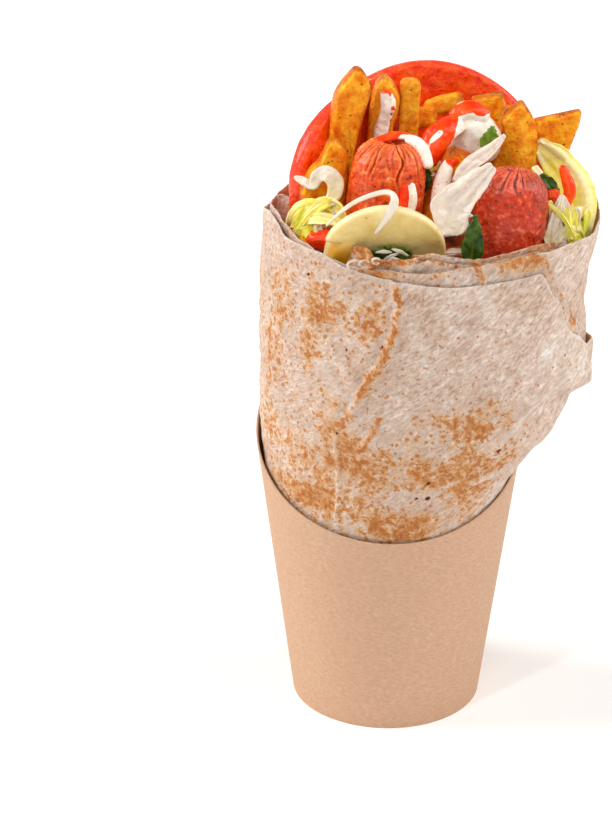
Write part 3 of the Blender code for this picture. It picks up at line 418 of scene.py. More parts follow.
def bread_sheet(name, angles, top_line, bottom, outer, thickness, step, jag, flutter, seed,
                brown_edge=0.0, brown=BROWNING_AND_SHADE, extra=None):
    """One thin layer of bread, from its lower edge to its torn top edge."""
    start, end = angles
    around = end - start >= 360.0
    columns = int((end - start) * MM_PER_DEGREE / step)
    angle = np.linspace(start, end, columns + 1)
    angle = angle[:-1] if around else angle
    top = line_height(angle, top_line)
    edge = np.stack([np.cos(np.radians(angle)) * 40, np.sin(np.radians(angle)) * 40,
                     np.zeros_like(angle)], axis=-1)
    top = top + jag * waves(edge, 5.0, seed) + 0.6 * jag * waves(edge, 1.7, seed + 1)
    rows = int((top.max() - bottom) / step) + 2
    share = np.linspace(0.0, 1.0, rows)[:, None]
    height = bottom + (top[None, :] - bottom) * share
    angle = np.broadcast_to(angle[None, :], height.shape)
    near_top = ease(1.0 - (top[None, :] - height) / 9.0)
    flap = flutter * near_top * waves(np.stack(
        [angle.ravel() * MM_PER_DEGREE, height.ravel() * 0.4, 0 * height.ravel()], -1),
        9.0, seed + 2).reshape(height.shape)
    offset = outer(angle, height) if callable(outer) else outer
    base = offset - thickness / 2 + folds(angle, height) + flap
    if extra:
        base = base + extra(angle, height)
    rough = bread_point(angle, height, base)
    relief, toast_and_shade, pale, burnt = bread_detail(angle, height, rough, brown)
    hidden = ease((height - 66.0) / 14.0)
    grid = bread_point(angle, height, base + relief * hidden)
    # The roll and the outer sheet get pale along their torn top edge: a painted highlight where that edge
    # catches the light.
    if brown is BROWNING_AND_SHADE:
        pale = np.clip(pale + 0.8 * ease(1.0 - (top[None, :] - height) / 1.2), 0, 1)
    toast_and_shade = np.clip(toast_and_shade + brown_edge * ease(1.0 - (top[None, :] - height) / 3.0), 0, 1)
    points, faces = thick_grid(grid, thickness, around)
    paint = [both_skins(values) for values in (toast_and_shade, pale, burnt)]
    make(name, points, faces, BREAD, ["lavash"], "flatbread", paint)


def inner_limits():
    """For each height, the polar radius of the bread's inner skin about its own middle."""
    angles = np.arange(-180.0, 180.0, 4.0)
    table = {}
    for height in range(LIMIT_LOW, LIMIT_HIGH + 1):
        ring = bread_point(angles, np.full(angles.shape, float(height)), -BREAD_WALL - SKIN_GAP)
        middle = ring[:, :2].mean(0)
        away = ring[:, :2] - middle
        turn = np.arctan2(away[:, 1], away[:, 0])
        order = np.argsort(turn)
        table[height] = (middle, turn[order], np.hypot(away[:, 0], away[:, 1])[order])
    return table


LIMITS = inner_limits()


def hold_inside(points):
    """Points moved in so that nothing below the rim pokes through the bread."""
    held = np.array(points, float)
    for index, (x, y, z) in enumerate(held.tolist()):
        if z > HELD_BELOW:
            continue
        middle, turns, radii = LIMITS[int(min(LIMIT_HIGH, max(LIMIT_LOW, round(z))))]
        away = np.array([x, y]) - middle
        reach = math.hypot(*away)
        limit = np.interp(math.atan2(away[1], away[0]), turns, radii, period=math.tau)
        if reach > limit:
            held[index, :2] = middle + away * limit / reach
    return held


# Materials

def srgb(red, green, blue):
    """A colour from 0 to 255 as seen, turned to the linear values that nodes take."""
    return tuple(((c / 255 + 0.055) / 1.055) ** 2.4 if c > 10 else c / 255 / 12.92
                 for c in (red, green, blue)) + (1.0,)


class Look:
    """A Principled material and short ways to wire its nodes, with sizes in millimetres."""

    def __init__(self, name, roughness, specular=0.5, coat=(), scatter=()):
        """Coat is (weight, roughness), and scatter is (weight, scale, radius)."""
        self.material = bpy.data.materials.new(name)
        self.material.use_nodes = True
        self.tree = self.material.node_tree
        self.shader = self.tree.nodes["Principled BSDF"]
        sockets = [("Roughness", roughness), ("Specular IOR Level", specular)]
        sockets += zip(("Coat Weight", "Coat Roughness"), coat)
        sockets += zip(("Subsurface Weight", "Subsurface Scale", "Subsurface Radius"), scatter)
        for socket, value in sockets:
            self.shader.inputs[socket].default_value = value
        self.place = self.node("ShaderNodeTexCoord").outputs["Object"]

    def node(self, kind, inputs=(), **settings):
        made = self.tree.nodes.new(kind)
        for setting, value in settings.items():
            setattr(made, setting, value)
        for socket, value in inputs:
            if isinstance(value, bpy.types.NodeSocket):
                self.tree.links.new(value, made.inputs[socket])
            else:
                made.inputs[socket].default_value = value
        return made

    def stretched(self, scale, turn=(0.0, 0.0, 0.0)):
        finer = tuple(1.0 / value for value in scale)
        return self.node("ShaderNodeMapping", [("Vector", self.place), ("Scale", finer),
                                               ("Rotation", turn)],
                         vector_type="TEXTURE").outputs["Vector"]

    def noise(self, size, detail=3.0, rough=0.55, place=None, kind="FBM", bend=0.0):
        inputs = [("Vector", place or self.place), ("Scale", 1000.0 / size), ("Detail", detail),
                  ("Roughness", rough), ("Distortion", bend)]
        return self.node("ShaderNodeTexNoise", inputs, noise_type=kind).outputs["Fac"]

    def cells(self, size):
        inputs = [("Vector", self.place), ("Scale", 1000.0 / size)]
        return self.node("ShaderNodeTexVoronoi", inputs).outputs["Distance"]

    def math(self, operation, first, second=0.0, third=0.0):
        inputs = [(0, first), (1, second)]
        if operation == "MULTIPLY_ADD":
            inputs.append((2, third))
        return self.node("ShaderNodeMath", inputs, operation=operation).outputs[0]

    def step(self, value, low, high, out_low=0.0, out_high=1.0):
        inputs = [("Value", value), ("From Min", low), ("From Max", high), ("To Min", out_low),
                  ("To Max", out_high)]
        return self.node("ShaderNodeMapRange", inputs, interpolation_type="SMOOTHSTEP").outputs[0]

    def ramp(self, value, stops):
        made = self.node("ShaderNodeValToRGB", [("Fac", value)])
        elements = made.color_ramp.elements
        while len(elements) < len(stops):
            elements.new(0.5)
        for element, (position, colour) in zip(elements, stops):
            element.position = position
            element.color = srgb(*colour)
        return made.outputs["Color"]

    def mix(self, share, first, second):
        made = self.node("ShaderNodeMix", data_type="RGBA")
        for socket, value in (("Factor_Float", share), ("A_Color", first), ("B_Color", second)):
            target = next(s for s in made.inputs if s.identifier == socket)
            if isinstance(value, bpy.types.NodeSocket):
                self.tree.links.new(value, target)
            elif socket == "Factor_Float":
                target.default_value = value
            else:
                target.default_value = srgb(*value)
        return next(s for s in made.outputs if s.identifier == "Result_Color")

    def paint(self):
        colour = self.node("ShaderNodeAttribute", attribute_name="paint").outputs["Color"]
        parts = self.node("ShaderNodeSeparateColor", [("Color", colour)]).outputs
        return parts["Red"], parts["Green"], parts["Blue"]

    def bump(self, height, distance, before=None):
        inputs = [("Height", height), ("Distance", distance * MM), ("Strength", 1.0)]
        if before:
            inputs.append(("Normal", before))
        return self.node("ShaderNodeBump", inputs).outputs["Normal"]

    def finish(self, colour, normal=None, roughness=None):
        """The material, with its colour, bumps and roughness wired to the shader."""
        self.tree.links.new(colour, self.shader.inputs["Base Color"])
        if normal:
            self.tree.links.new(normal, self.shader.inputs["Normal"])
        if roughness:
            self.tree.links.new(roughness, self.shader.inputs["Roughness"])
        return self.material


def bread_look():
    """Floury pale bread with fibrous streaks, mottled tan patches and small brown specks."""
    look = Look("flatbread", 0.75, 0.3, scatter=(0.3, 0.002, (1.0, 0.6, 0.35)))
    toast_and_shade, pale, burnt = look.paint()
    diagonal = look.stretched((1.0, 1.0, 2.2), (0.0, -0.7, 0.0))
    fibre = look.noise(1.9, 6.0, 0.68, diagonal)
    cloud = look.noise(16.0, 3.0, 0.5)
    streak = look.noise(5.0, 3.0, 0.55, diagonal)
    tone = look.math("MULTIPLY_ADD", cloud, 0.22, look.math("MULTIPLY", fibre, 0.6))
    tone = look.math("MULTIPLY_ADD", streak, 0.26, look.math("ADD", tone, 0.02))
    base = look.ramp(tone, [(0.44, (177, 145, 123)), (0.53, (207, 178, 159)), (0.61, (225, 203, 188)),
                            (0.69, (245, 235, 228))])
    # The base darkens where the paint carries griddle browning, and where it carries the painted shade
    # over the middle of the front.
    base = look.mix(look.step(toast_and_shade, 0.0, 0.3, 0.0, 0.3), base, (190, 160, 140))
    patch = look.noise(2.8, 6.0, 0.74, bend=0.2)
    speck = look.noise(1.1, 3.0, 0.6)
    heat = look.math("MULTIPLY_ADD", toast_and_shade, 0.36, patch)
    heat = look.math("MULTIPLY_ADD", pale, -0.3, heat)
    tan = look.ramp(heat, [(0.64, (222, 184, 140)), (0.76, (212, 158, 98)), (0.90, (192, 126, 58)),
                           (1.02, (158, 92, 36))])
    cover = look.step(look.math("MULTIPLY_ADD", fibre, -0.3, look.math("ADD", heat, 0.15)),
                      0.62, 0.86, 0.0, 0.9)
    colour = look.mix(cover, base, tan)
    spot = look.math("MULTIPLY_ADD", heat, -0.8, look.cells(2.3))
    colour = look.mix(look.step(spot, -0.34, -0.22, 0.85, 0.0), colour, (190, 118, 52))
    seeded = look.math("MULTIPLY_ADD", heat, 0.55, speck)
    colour = look.mix(look.step(seeded, 0.97, 1.05, 0.0, 0.8), colour, (176, 100, 44))
    # Pale creases lighten the colour, and so does the painted highlight along the torn top edges.
    colour = look.mix(look.math("MULTIPLY", pale, 0.6), colour, (232, 218, 208))
    colour = look.mix(look.step(burnt, 0.74, 0.8), colour, (88, 36, 10))
    strands = look.noise(1.2, 4.0, 0.6, diagonal, "RIDGED_MULTIFRACTAL")
    colour = look.mix(look.step(strands, 1.2, 2.2, 0.0, 0.3), colour, (242, 230, 224))
    normal = look.bump(look.math("MULTIPLY_ADD", streak, 1.5, fibre), 1.0)
    normal = look.bump(look.noise(0.9, 3.0), 0.16, normal)
    normal = look.bump(cover, 0.12, normal)
    return look.finish(colour, normal)


def kraft_look():
    """Matt brown board with short fibres and darker flecks."""
    look = Look("kraft_board", 0.8, 0.25)
    fibres = look.noise(1.6, 5.0, 0.7, look.stretched((1.0, 1.0, 2.6), (0.0, 0.25, 0.0)))
    cloud = look.noise(16.0, 3.0)
    flecks = look.noise(0.9, 2.0, 0.5, look.stretched((1.0, 1.0, 0.35), (0.3, 0.8, 0.0)))
    colour = look.ramp(fibres, [(0.3, (180, 143, 114)), (0.52, (193, 156, 128)),
                              (0.7, (204, 168, 142))])
    colour = look.mix(look.step(cloud, 0.35, 0.7, 0.0, 0.2), colour, (192, 150, 120))
    colour = look.mix(look.step(flecks, 0.68, 0.76, 0.0, 0.35), colour, (166, 118, 84))
    return look.finish(colour, look.bump(fibres, 0.05))


def sausage_look(name, main, light, dark, tip):
    """Fried sausage skin: mottled, with painted shade in its folds and slits, painted highlights on the
    ridges beside the folds, and paler at its tip.
    """
    look = Look(name, 0.3, 0.25, coat=(0.35, 0.08), scatter=(0.05, 0.002, (1.0, 0.25, 0.1)))
    fold_shade_and_highlight, top, burnt = look.paint()
    mottle = look.noise(2.4, 5.0, 0.62, bend=0.2)
    fine = look.noise(0.9, 3.0, 0.6)
    blisters = look.cells(1.7)
    colour = look.ramp(mottle, [(0.33, dark), (0.45, main), (0.54, main), (0.66, light)])
    colour = look.mix(look.step(blisters, 0.0, 0.4, 0.3, 0.0), colour, light)
    colour = look.mix(look.math("MULTIPLY", top, look.step(fine, 0.35, 0.65, 0.0, 0.8)), colour, tip)
    # Painted highlight on the ridges beside each fold, then painted shade in the folds and the slits.
    colour = look.mix(look.step(fold_shade_and_highlight, 0.38, 0.12, 0.0, 0.6), colour, light)
    colour = look.mix(look.step(fold_shade_and_highlight, 0.45, 0.95, 0.0, 0.75), colour, dark)
    colour = look.mix(look.math("MULTIPLY", burnt, look.step(mottle, 0.35, 0.6, 0.0, 0.55)), colour,
                      dark)
    normal = look.bump(look.math("MULTIPLY", look.step(blisters, 0.0, 0.6), -1.0), 0.2)
    normal = look.bump(look.noise(2.0, 4.0, 0.6, look.stretched((1.0, 1.0, 0.35))), 0.45, normal)
    normal = look.bump(fine, 0.3, normal)
    return look.finish(colour, normal, look.step(fine, 0.3, 0.7, 0.18, 0.34))


def potato_look():
    """Fried potato: yellow to orange, browner at edges and tips, with a little pepper."""
    look = Look("fried_potato", 0.36, 0.15, coat=(0.03, 0.2),
                scatter=(0.05, 0.002, (1.0, 0.5, 0.1)))
    edge, brown, pale = look.paint()
    patch = look.noise(3.6, 4.0, 0.62)
    crisp = look.noise(1.3, 4.0, 0.65)
    grain = look.noise(0.55, 2.0)
    colour = look.ramp(patch, [(0.34, (222, 100, 0)), (0.48, (248, 144, 2)), (0.64, (255, 188, 40))])
    colour = look.mix(look.math("MULTIPLY", pale, look.step(crisp, 0.3, 0.65, 0.0, 0.75)), colour,
                      (255, 194, 58))
    char = look.math("MULTIPLY_ADD", edge, 0.12, look.math("MULTIPLY_ADD", brown, 0.52, crisp))
    colour = look.mix(look.step(char, 0.62, 0.95, 0.0, 0.8), colour, (186, 84, 8))
    colour = look.mix(look.step(char, 0.98, 1.2, 0.0, 0.85), colour, (112, 46, 10))
    pepper = look.step(look.cells(3.4), 0.09, 0.13, 1.0, 0.0)
    colour = look.mix(look.math("MULTIPLY", pepper, 0.7), colour, (84, 44, 14))
    normal = look.bump(crisp, 0.7)
    normal = look.bump(grain, 0.2, normal)
    return look.finish(colour, normal, look.step(crisp, 0.35, 0.65, 0.26, 0.5))


def tomato_look():
    """Tomato with wet flesh inside a redder skin."""
    look = Look("tomato", 0.2, 0.2, coat=(0.3, 0.1), scatter=(0.06, 0.003, (1.0, 0.2, 0.08)))
    skin, deep, _ = look.paint()
    flesh = look.noise(4.4, 4.0, 0.6, bend=0.5)
    fine = look.noise(1.2, 3.0)
    colour = look.ramp(flesh, [(0.34, (232, 40, 0)), (0.5, (253, 74, 4)), (0.68, (255, 100, 18))])
    colour = look.mix(look.math("MULTIPLY", look.step(fine, 0.5, 0.7), 0.35), colour, (255, 126, 44))
    colour = look.mix(look.math("MULTIPLY", deep, 0.8), colour, (196, 22, 2))
    colour = look.mix(look.math("MULTIPLY", skin, 0.6), colour, (244, 50, 30))
    normal = look.bump(flesh, 1.6)
    normal = look.bump(fine, 0.4, normal)
    return look.finish(colour, normal)


def sauce_look():
    """Mayonnaise with dark specks, turning to ketchup where the paint says so."""
    look = Look("sauce", 0.25, 0.2, coat=(0.2, 0.08), scatter=(0.08, 0.0015))
    red, _, _ = look.paint()
    body = look.noise(4.0, 3.0)
    share = look.step(look.math("MULTIPLY_ADD", body, 0.3, look.math("SUBTRACT", red, 0.15)), 0.3, 0.62)
    white = look.ramp(body, [(0.35, (248, 230, 208)), (0.65, (255, 250, 240))])
    dots = look.step(look.cells(2.0), 0.08, 0.14, 1.0, 0.0)
    white = look.mix(look.math("MULTIPLY", dots, 0.7), white, (110, 84, 66))
    ketchup = look.ramp(body, [(0.35, (242, 46, 0)), (0.65, (255, 88, 8))])
    return look.finish(look.mix(share, white, ketchup), look.bump(look.noise(2.2, 3.0), 0.3))


def leaf_look(name, white, mid, green):
    """Leaf from white through mid to green by its tint, with white veins."""
    look = Look(name, 0.32, 0.35, coat=(0.2, 0.15), scatter=(0.15, 0.002, (1.0, 1.0, 0.5)))
    tint, vein, _ = look.paint()
    cloud = look.noise(5.0, 3.0)
    amount = look.math("MULTIPLY_ADD", look.math("SUBTRACT", cloud, 0.5), 0.8, tint)
    colour = look.ramp(amount, [(0.05, white), (0.45, mid), (0.95, green)])
    colour = look.mix(look.math("MULTIPLY", vein, 0.75), colour, white)
    normal = look.bump(look.noise(2.2, 4.0), 0.5)
    return look.finish(colour, normal)


def herb_look():
    """Dark green herb with lighter veins."""
    look = Look("herb", 0.36, 0.3, coat=(0.2, 0.2), scatter=(0.05, 0.001))
    vein, light, _ = look.paint()
    cloud = look.noise(2.4, 3.0)
    colour = look.ramp(cloud, [(0.3, (22, 44, 2)), (0.52, (42, 76, 6)), (0.72, (74, 110, 14))])
    colour = look.mix(look.math("MULTIPLY", light, 0.8), colour, (122, 156, 10))
    colour = look.mix(look.math("MULTIPLY", vein, 0.5), colour, (132, 156, 50))
    return look.finish(colour, look.bump(look.noise(1.2, 4.0), 0.25))


def gherkin_look():
    """Pale yellow gherkin with a lighter rim and a few small seeds."""
    look = Look("gherkin", 0.26, 0.3, coat=(0.3, 0.1), scatter=(0.12, 0.003, (1.0, 0.8, 0.35)))
    rim, yellow, _ = look.paint()
    cloud = look.noise(6.0, 4.0, 0.6)
    colour = look.ramp(cloud, [(0.3, (218, 184, 100)), (0.5, (229, 201, 126)), (0.7, (239, 217, 150))])
    colour = look.mix(look.math("MULTIPLY", yellow, look.step(cloud, 0.2, 0.55)), colour, (240, 172, 8))
    colour = look.mix(look.math("MULTIPLY", rim, 0.7), colour, (238, 224, 178))
    dots = look.step(look.cells(3.6), 0.07, 0.12, 1.0, 0.0)
    colour = look.mix(look.math("MULTIPLY", dots, 0.6), colour, (150, 100, 24))
    return look.finish(colour, look.bump(look.noise(1.6, 4.0), 0.14))


def filling_and_shade_look():
    """Mixed brown and yellow filling, seen only in the gaps; its dark red-browns are a painted shade for
    those gaps.
    """
    look = Look("filling", 0.35, coat=(0.3, 0.15))
    cloud = look.noise(7.0, 4.0, 0.65, bend=1.0)
    colour = look.ramp(cloud, [(0.3, (84, 26, 8)), (0.45, (158, 62, 18)), (0.58, (206, 128, 44)),
                               (0.7, (196, 178, 92))])
    return look.finish(colour, look.bump(look.noise(2.5, 5.0), 0.9))


BREAD = bread_look()
KRAFT = kraft_look()
SAUSAGE_LEFT = sausage_look("sausage_orange", (232, 78, 18), (255, 140, 60), (136, 26, 2),
                            (254, 140, 70))
SAUSAGE_RIGHT = sausage_look("sausage_red", (200, 54, 22), (236, 112, 72), (104, 16, 4),
                             (240, 128, 98))
POTATO = potato_look()
TOMATO = tomato_look()
SAUCE = sauce_look()
CABBAGE = leaf_look("cabbage", (230, 215, 201), (234, 220, 172), (210, 204, 80))
LETTUCE = leaf_look("lettuce", (248, 236, 190), (246, 228, 92), (204, 210, 12))
HERB = herb_look()
GHERKIN = gherkin_look()
FILLING_AND_SHADE = filling_and_shade_look()


# Cup and bread

def paper_cup():
    """Conical board wall cut on a slant, with its base disc, foot curl and glued seam."""
    sides, rows, floor = 180, 45, CUP_RECESS + CUP_BOARD
    seam_half_width, seam_step = 9.0, 0.5
    turns = np.linspace(0.0, math.tau, sides, endpoint=False)

    def level(radius, height):
        return np.stack([radius * np.sin(turns), -radius * np.cos(turns), np.full(sides, height)],
                        -1)

    def wall(radius_change, seam):
        rings = []
        front, right = -np.cos(turns), np.sin(turns)
        for share in np.linspace(0.0, 1.0, rows):
            reach = CUP_FRONT_RADIUS * np.ones(sides)
            for _ in range(4):
                top = rim_height(front * reach)
                reach = cup_radius(top)
            height = share * top
            lap = seam * ease((seam_half_width - np.abs(np.degrees(turns) - 180.0)) / 0.8)
            radius = cup_radius(height) + radius_change + lap
            rings.append(np.stack([radius * right, radius * front, height], -1))
        return rings

    outside = wall(0.0, seam_step)
    inside = wall(-CUP_BOARD, 0.0)[::-1]
    inside = [ring for ring in inside if ring[:, 2].min() >= floor + 0.4]
    lip = [(outside[-1] * 0.5 + inside[0] * 0.5) + np.array([0, 0, 0.12])]
    disc = [level(radius, floor) for radius in (cup_radius(floor) - CUP_BOARD, 20.0, 2.0)]
    foot = cup_radius(0)
    under = [level(radius, height)
             for radius, height in ((2.0, CUP_RECESS), (20.0, CUP_RECESS),
                                    (cup_radius(CUP_RECESS) - 1.6, CUP_RECESS), (foot - 1.7, 0.5),
                                    (foot - 1.3, 0.0), (foot - 0.5, 0.0))]
    points, faces = ring_skin(under + outside + lip + inside + disc)
    make("paper_cup_board", points, faces, KRAFT, ["paper_cup"], "kraft_board", sharp=35)


def lavash():
    """The bread: the roll that holds the filling, the sheet wrapped round it and its layers."""
    def pleat(angle, height):
        ruffle = np.sin(np.radians(angle * 26.0)) + 0.5 * np.sin(np.radians(angle * 61.0) + 1.0)
        return 1.1 * ruffle * ease((height - 157.0) / 10.0)

    bread_sheet("bread_roll", (-180, 180), RIM_LINE, BREAD_BOTTOM + 1.0, 0.0, 1.0, 1.15, 0.5, 0.4,
                11, 0.25)
    bread_sheet("bread_outer", (-165, 103), OUTER_LINE, 60.0, outer_offset, 0.8, 0.85, 0.22, 0.7, 21)
    bread_sheet("bread_second", (-34, 62), SECOND_LINE, 134.0, 1.0, 0.6, 0.6, 0.25, 0.7, 31, 0.35,
                SECOND_BROWN)
    bread_sheet("bread_third", (-12, 42), THIRD_LINE, 154.0, -1.2, 0.6, 0.6, 0.3, 0.8, 41, 0.3,
                THIRD_BROWN)
    bread_sheet("bread_fourth", (-10, 48), FOURTH_LINE, 154.0, -2.7, 0.6, 0.6, 0.3, 0.9, 51, 0.4,
                THIRD_BROWN)
    bread_sheet("bread_tabs", (-33, -8), TAB_LINE, 154.0, -1.3, 0.5, 0.45, 0.5, 0.6, 61, 0.8,
                TAB_BROWN, pleat)
    ribbon("bread_inner_flap", [(-38.0, -2.0, 157.0), (-36.4, 1.0, 163.5), (-33.0, 4.5, 170.4)],
           (8.0, 8.5, 4.0), (-0.1, -1, 0.5), BREAD, "flatbread", 0.8, 0.2, nodes=["lavash"],
           seed=81, green=(0.15, 0.5))
    curls = ((-12.6, -46.4, 166.6, 1.9), (-9.6, -47.6, 167.4, 1.5), (-6.2, -48.4, 168.6, 1.2))
    for index, (x, y, z, size) in enumerate(curls):
        loop = [(x + size * math.cos(a), y - 0.4 * math.sin(a), z + 0.8 * size * math.sin(a))
                for a in np.linspace(0.3, 5.6, 8)]
        make(f"bread_curl_{index + 1}", *bead_shape(loop, 0.42, 1.0, rough=0.1), BREAD, ["lavash"],
             "flatbread")


# Food shapes

SAUSAGE_PROFILE = [(-0.6, 0.16), (0.9, 0.34), (0.4, 0.55), (-1.6, 0.78), (-4.6, 0.93), (-9.0, 1.0),
                   (-17.0, 1.02), (-28.0, 1.0)]


def sausage(name, top, low, radius, seed, surface, crinkle, folds_count, depth_of, reach_of,
            slits=()):
    """A frankfurter on end, its tied tip drawn into fine radial wrinkles.

    There are folds_count wrinkles, up to depth_of deep, that run reach_of millimetres down at most.
    A slit is (turn in radians, millimetres from the tip, half width in radians, half height).
    """
    coarse = random.Random(seed)
    creases = [(coarse.uniform(0, math.tau), coarse.uniform(0.5, 1.0)) for _ in range(7)]
    rng = random.Random(seed + 100)
    top, low = Vector(top), Vector(low)
    along, across, out = (np.array(v) for v in frame_along(top - low, FRONT))
    length = (top - low).length
    knots = [(0.2, 0.02)] + SAUSAGE_PROFILE + [(-length, 0.97), (-length - 6.0, 0.6)]
    controls = [(depth, scale * radius, 0.0) for depth, scale in knots]
    row_count, turn_count, tip_reach = 160, 280, 15.0
    rows = [curve_point(controls, t) for t in np.linspace(0, 1, row_count) ** 1.15]
    travelled = np.concatenate([[0.0], np.cumsum([(b - a).length for a, b in zip(rows, rows[1:])])])
    turns = np.linspace(0.0, math.tau, turn_count, endpoint=False)
    wrinkles = [(math.tau * (k + rng.uniform(-0.3, 0.3)) / folds_count, rng.uniform(0.026, 0.052),
                 rng.uniform(0.25, 1.0), rng.uniform(0.4, 1.0) * reach_of, rng.uniform(-0.09, 0.09))
                for k in range(folds_count)]
    rings, fold_shade_and_highlight_of, top_of = [], [], []
    for row, distance in zip(rows, travelled):
        depth, size, _ = row
        pinch = ease(1.0 + depth / 16.0) * ease(size / radius * 2.2)
        broad = sum(deep * np.exp(-(np.sin((turns - place) / 2) / 0.13) ** 2)
                    for place, deep in creases)
        fine, ridge = np.zeros_like(turns), np.zeros_like(turns)
        for place, width, deep, reach, sway in wrinkles:
            bent = place + sway * math.sin(distance * 0.6 + place * 3)
            wide = width * (1.0 + 2.5 * math.exp(-distance / 3.0))
            strength = deep * ease(distance / 2.5) * ease((reach - distance) / (0.4 * reach))
            beside = np.sin((turns - bent) / 2) * 2 / wide
            fine += strength * np.exp(-beside ** 2)
            ridge += strength * np.exp(-(np.abs(beside) - 1.9) ** 2)
        slit = np.zeros_like(turns)
        for turn, far, wide, tall in slits:
            slit += np.exp(-(np.sin((turns - turn) / 2) * 2 / wide) ** 2
                           - ((distance - far) / tall) ** 2)
        swell = size * (1.0 - 0.055 * pinch * broad + 0.015 * np.sin(3 * turns)) \
            - depth_of * fine + 0.45 * depth_of * ridge - 1.6 * slit
        ring = np.array(top) + along * depth + np.outer(swell * np.cos(turns), across) \
            + np.outer(swell * np.sin(turns), out)
        rings.append(ring)
        # High paint in the folds and slits is their painted shade; low paint on the ridges beside the
        # folds is their painted highlight.
        fold_shade_and_highlight_of.append(np.clip(0.4 + 0.8 * fine - 0.35 * ridge + slit, 0, 1))
        top_of.append(np.full(turns.shape, float(ease(1.0 - distance / tip_reach))))
    points, faces = ring_skin(rings)
    flat = np.array(points)
    centre = np.array(top) + np.outer((flat - np.array(top)) @ along, along)
    outward = flat - centre
    reach = np.linalg.norm(outward, axis=1, keepdims=True)
    lumps = 0.2 * waves(flat, 4.5, seed) + 0.12 * waves(flat * [1, 1, 2.0], 2.0, seed + 1)
    lumps += crinkle * waves(flat * [0.5, 0.5, 2.6], 3.0, seed + 2)
    flat += outward / np.maximum(reach, 0.5) * (lumps * np.clip(reach[:, 0] / radius, 0, 1))[:, None]
    fold_shade_and_highlight = np.concatenate([np.concatenate(fold_shade_and_highlight_of), [0.6, 0.4]])
    tip = np.concatenate([np.concatenate(top_of), [1.0, 0.0]])
    burnt = ease(waves(flat, 8.0, seed + 5) * 2.2 - 0.1) * (1.0 - 0.6 * tip)
    make(name, hold_inside(flat), faces, surface, [name], "sausage", (fold_shade_and_highlight, tip, burnt))


def stick(name, base, tip, width, depth, facing=FRONT, tip_size=0.6, seed=1, brown=0.2, pale=0.0,
          surface=POTATO, square=4.2, brown_side=0.0, taper_from=0.6, rough=0.25):
    """A stick of fried potato or tomato with flat faces, softened edges and rounded ends."""
    coarse = random.Random(seed)
    stops = (0.0, 0.2, 0.42, 0.64, 0.82, 0.94, 1.0)
    widths, depths = [], []
    for _ in stops:
        widths.append(coarse.uniform(0.94, 1.06))
        depths.append(sum(coarse.uniform(0.95, 1.05) for _ in range(8)) / 8)
    base, tip = Vector(base), Vector(tip)
    along, across, out = (np.array(v) for v in frame_along(tip - base, facing))
    length = (tip - base).length
    turns = np.linspace(0.0, math.tau, 56, endpoint=False)
    cos, sin = np.cos(turns), np.sin(turns)
    u = np.sign(cos) * np.abs(cos) ** (2 / square)
    v = np.sign(sin) * np.abs(sin) ** (2 / square)
    rounding = min(2.2, 0.35 * min(width, depth))
    ends = rounding / length
    inner = np.linspace(ends, 1.0 - ends, max(16, int(length / 0.8)))
    caps = [(ends * (1 - math.cos(a)), math.sin(a)) for a in np.linspace(0.25, 1.5, 6)]
    levels = caps + [(t, 1.0) for t in inner] + [(1.0 - t, s) for t, s in reversed(caps)]
    rings, edges, browns = [], [], []
    for t, cap in levels:
        taper = max(0.0, (t - taper_from) / (1.0 - taper_from))
        size = 1.0 - (1.0 - tip_size) * taper ** 1.4
        trimmed = rounding * (1.0 - cap)
        wide = max(0.15, width / 2 * size * np.interp(t, stops, widths) - trimmed)
        deep = max(0.15, depth / 2 * size * np.interp(t, stops, depths) - trimmed)
        rings.append(np.array(base.lerp(tip, t)) + np.outer(u * wide, across)
                     + np.outer(v * deep, out))
        corner = ease((np.abs(u * v) - 0.55) / 0.4)
        edges.append(np.clip(corner + 0.9 * float(ease((t - 0.90) / 0.1)), 0, 1))
        browns.append(np.clip(brown + 0.5 * float(ease((t - 0.8) / 0.2))
                              + brown_side * np.clip(-u, 0, 1), 0, 1))
    points, faces = ring_skin(rings)
    middle = np.array(base) + np.outer((points - np.array(base)) @ along, along)
    outward = points - middle
    outward /= np.maximum(np.linalg.norm(outward, axis=1, keepdims=True), 0.4)
    bumps = rough * waves(points, 4.0, seed) + 0.5 * rough * waves(points, 1.6, seed + 3)
    points = points + outward * bumps[:, None]
    edge = np.concatenate([np.concatenate(edges), [0.3, 1.0]])
    tone = np.concatenate([np.concatenate(browns), [brown, brown]])
    light = np.clip(pale + 0.8 * waves(points, 6.0, seed + 7), 0, 1)
    slot = "tomato" if surface is TOMATO else "fried_potato"
    make(name, hold_inside(points), faces, surface, [name], slot, (edge, tone, light))


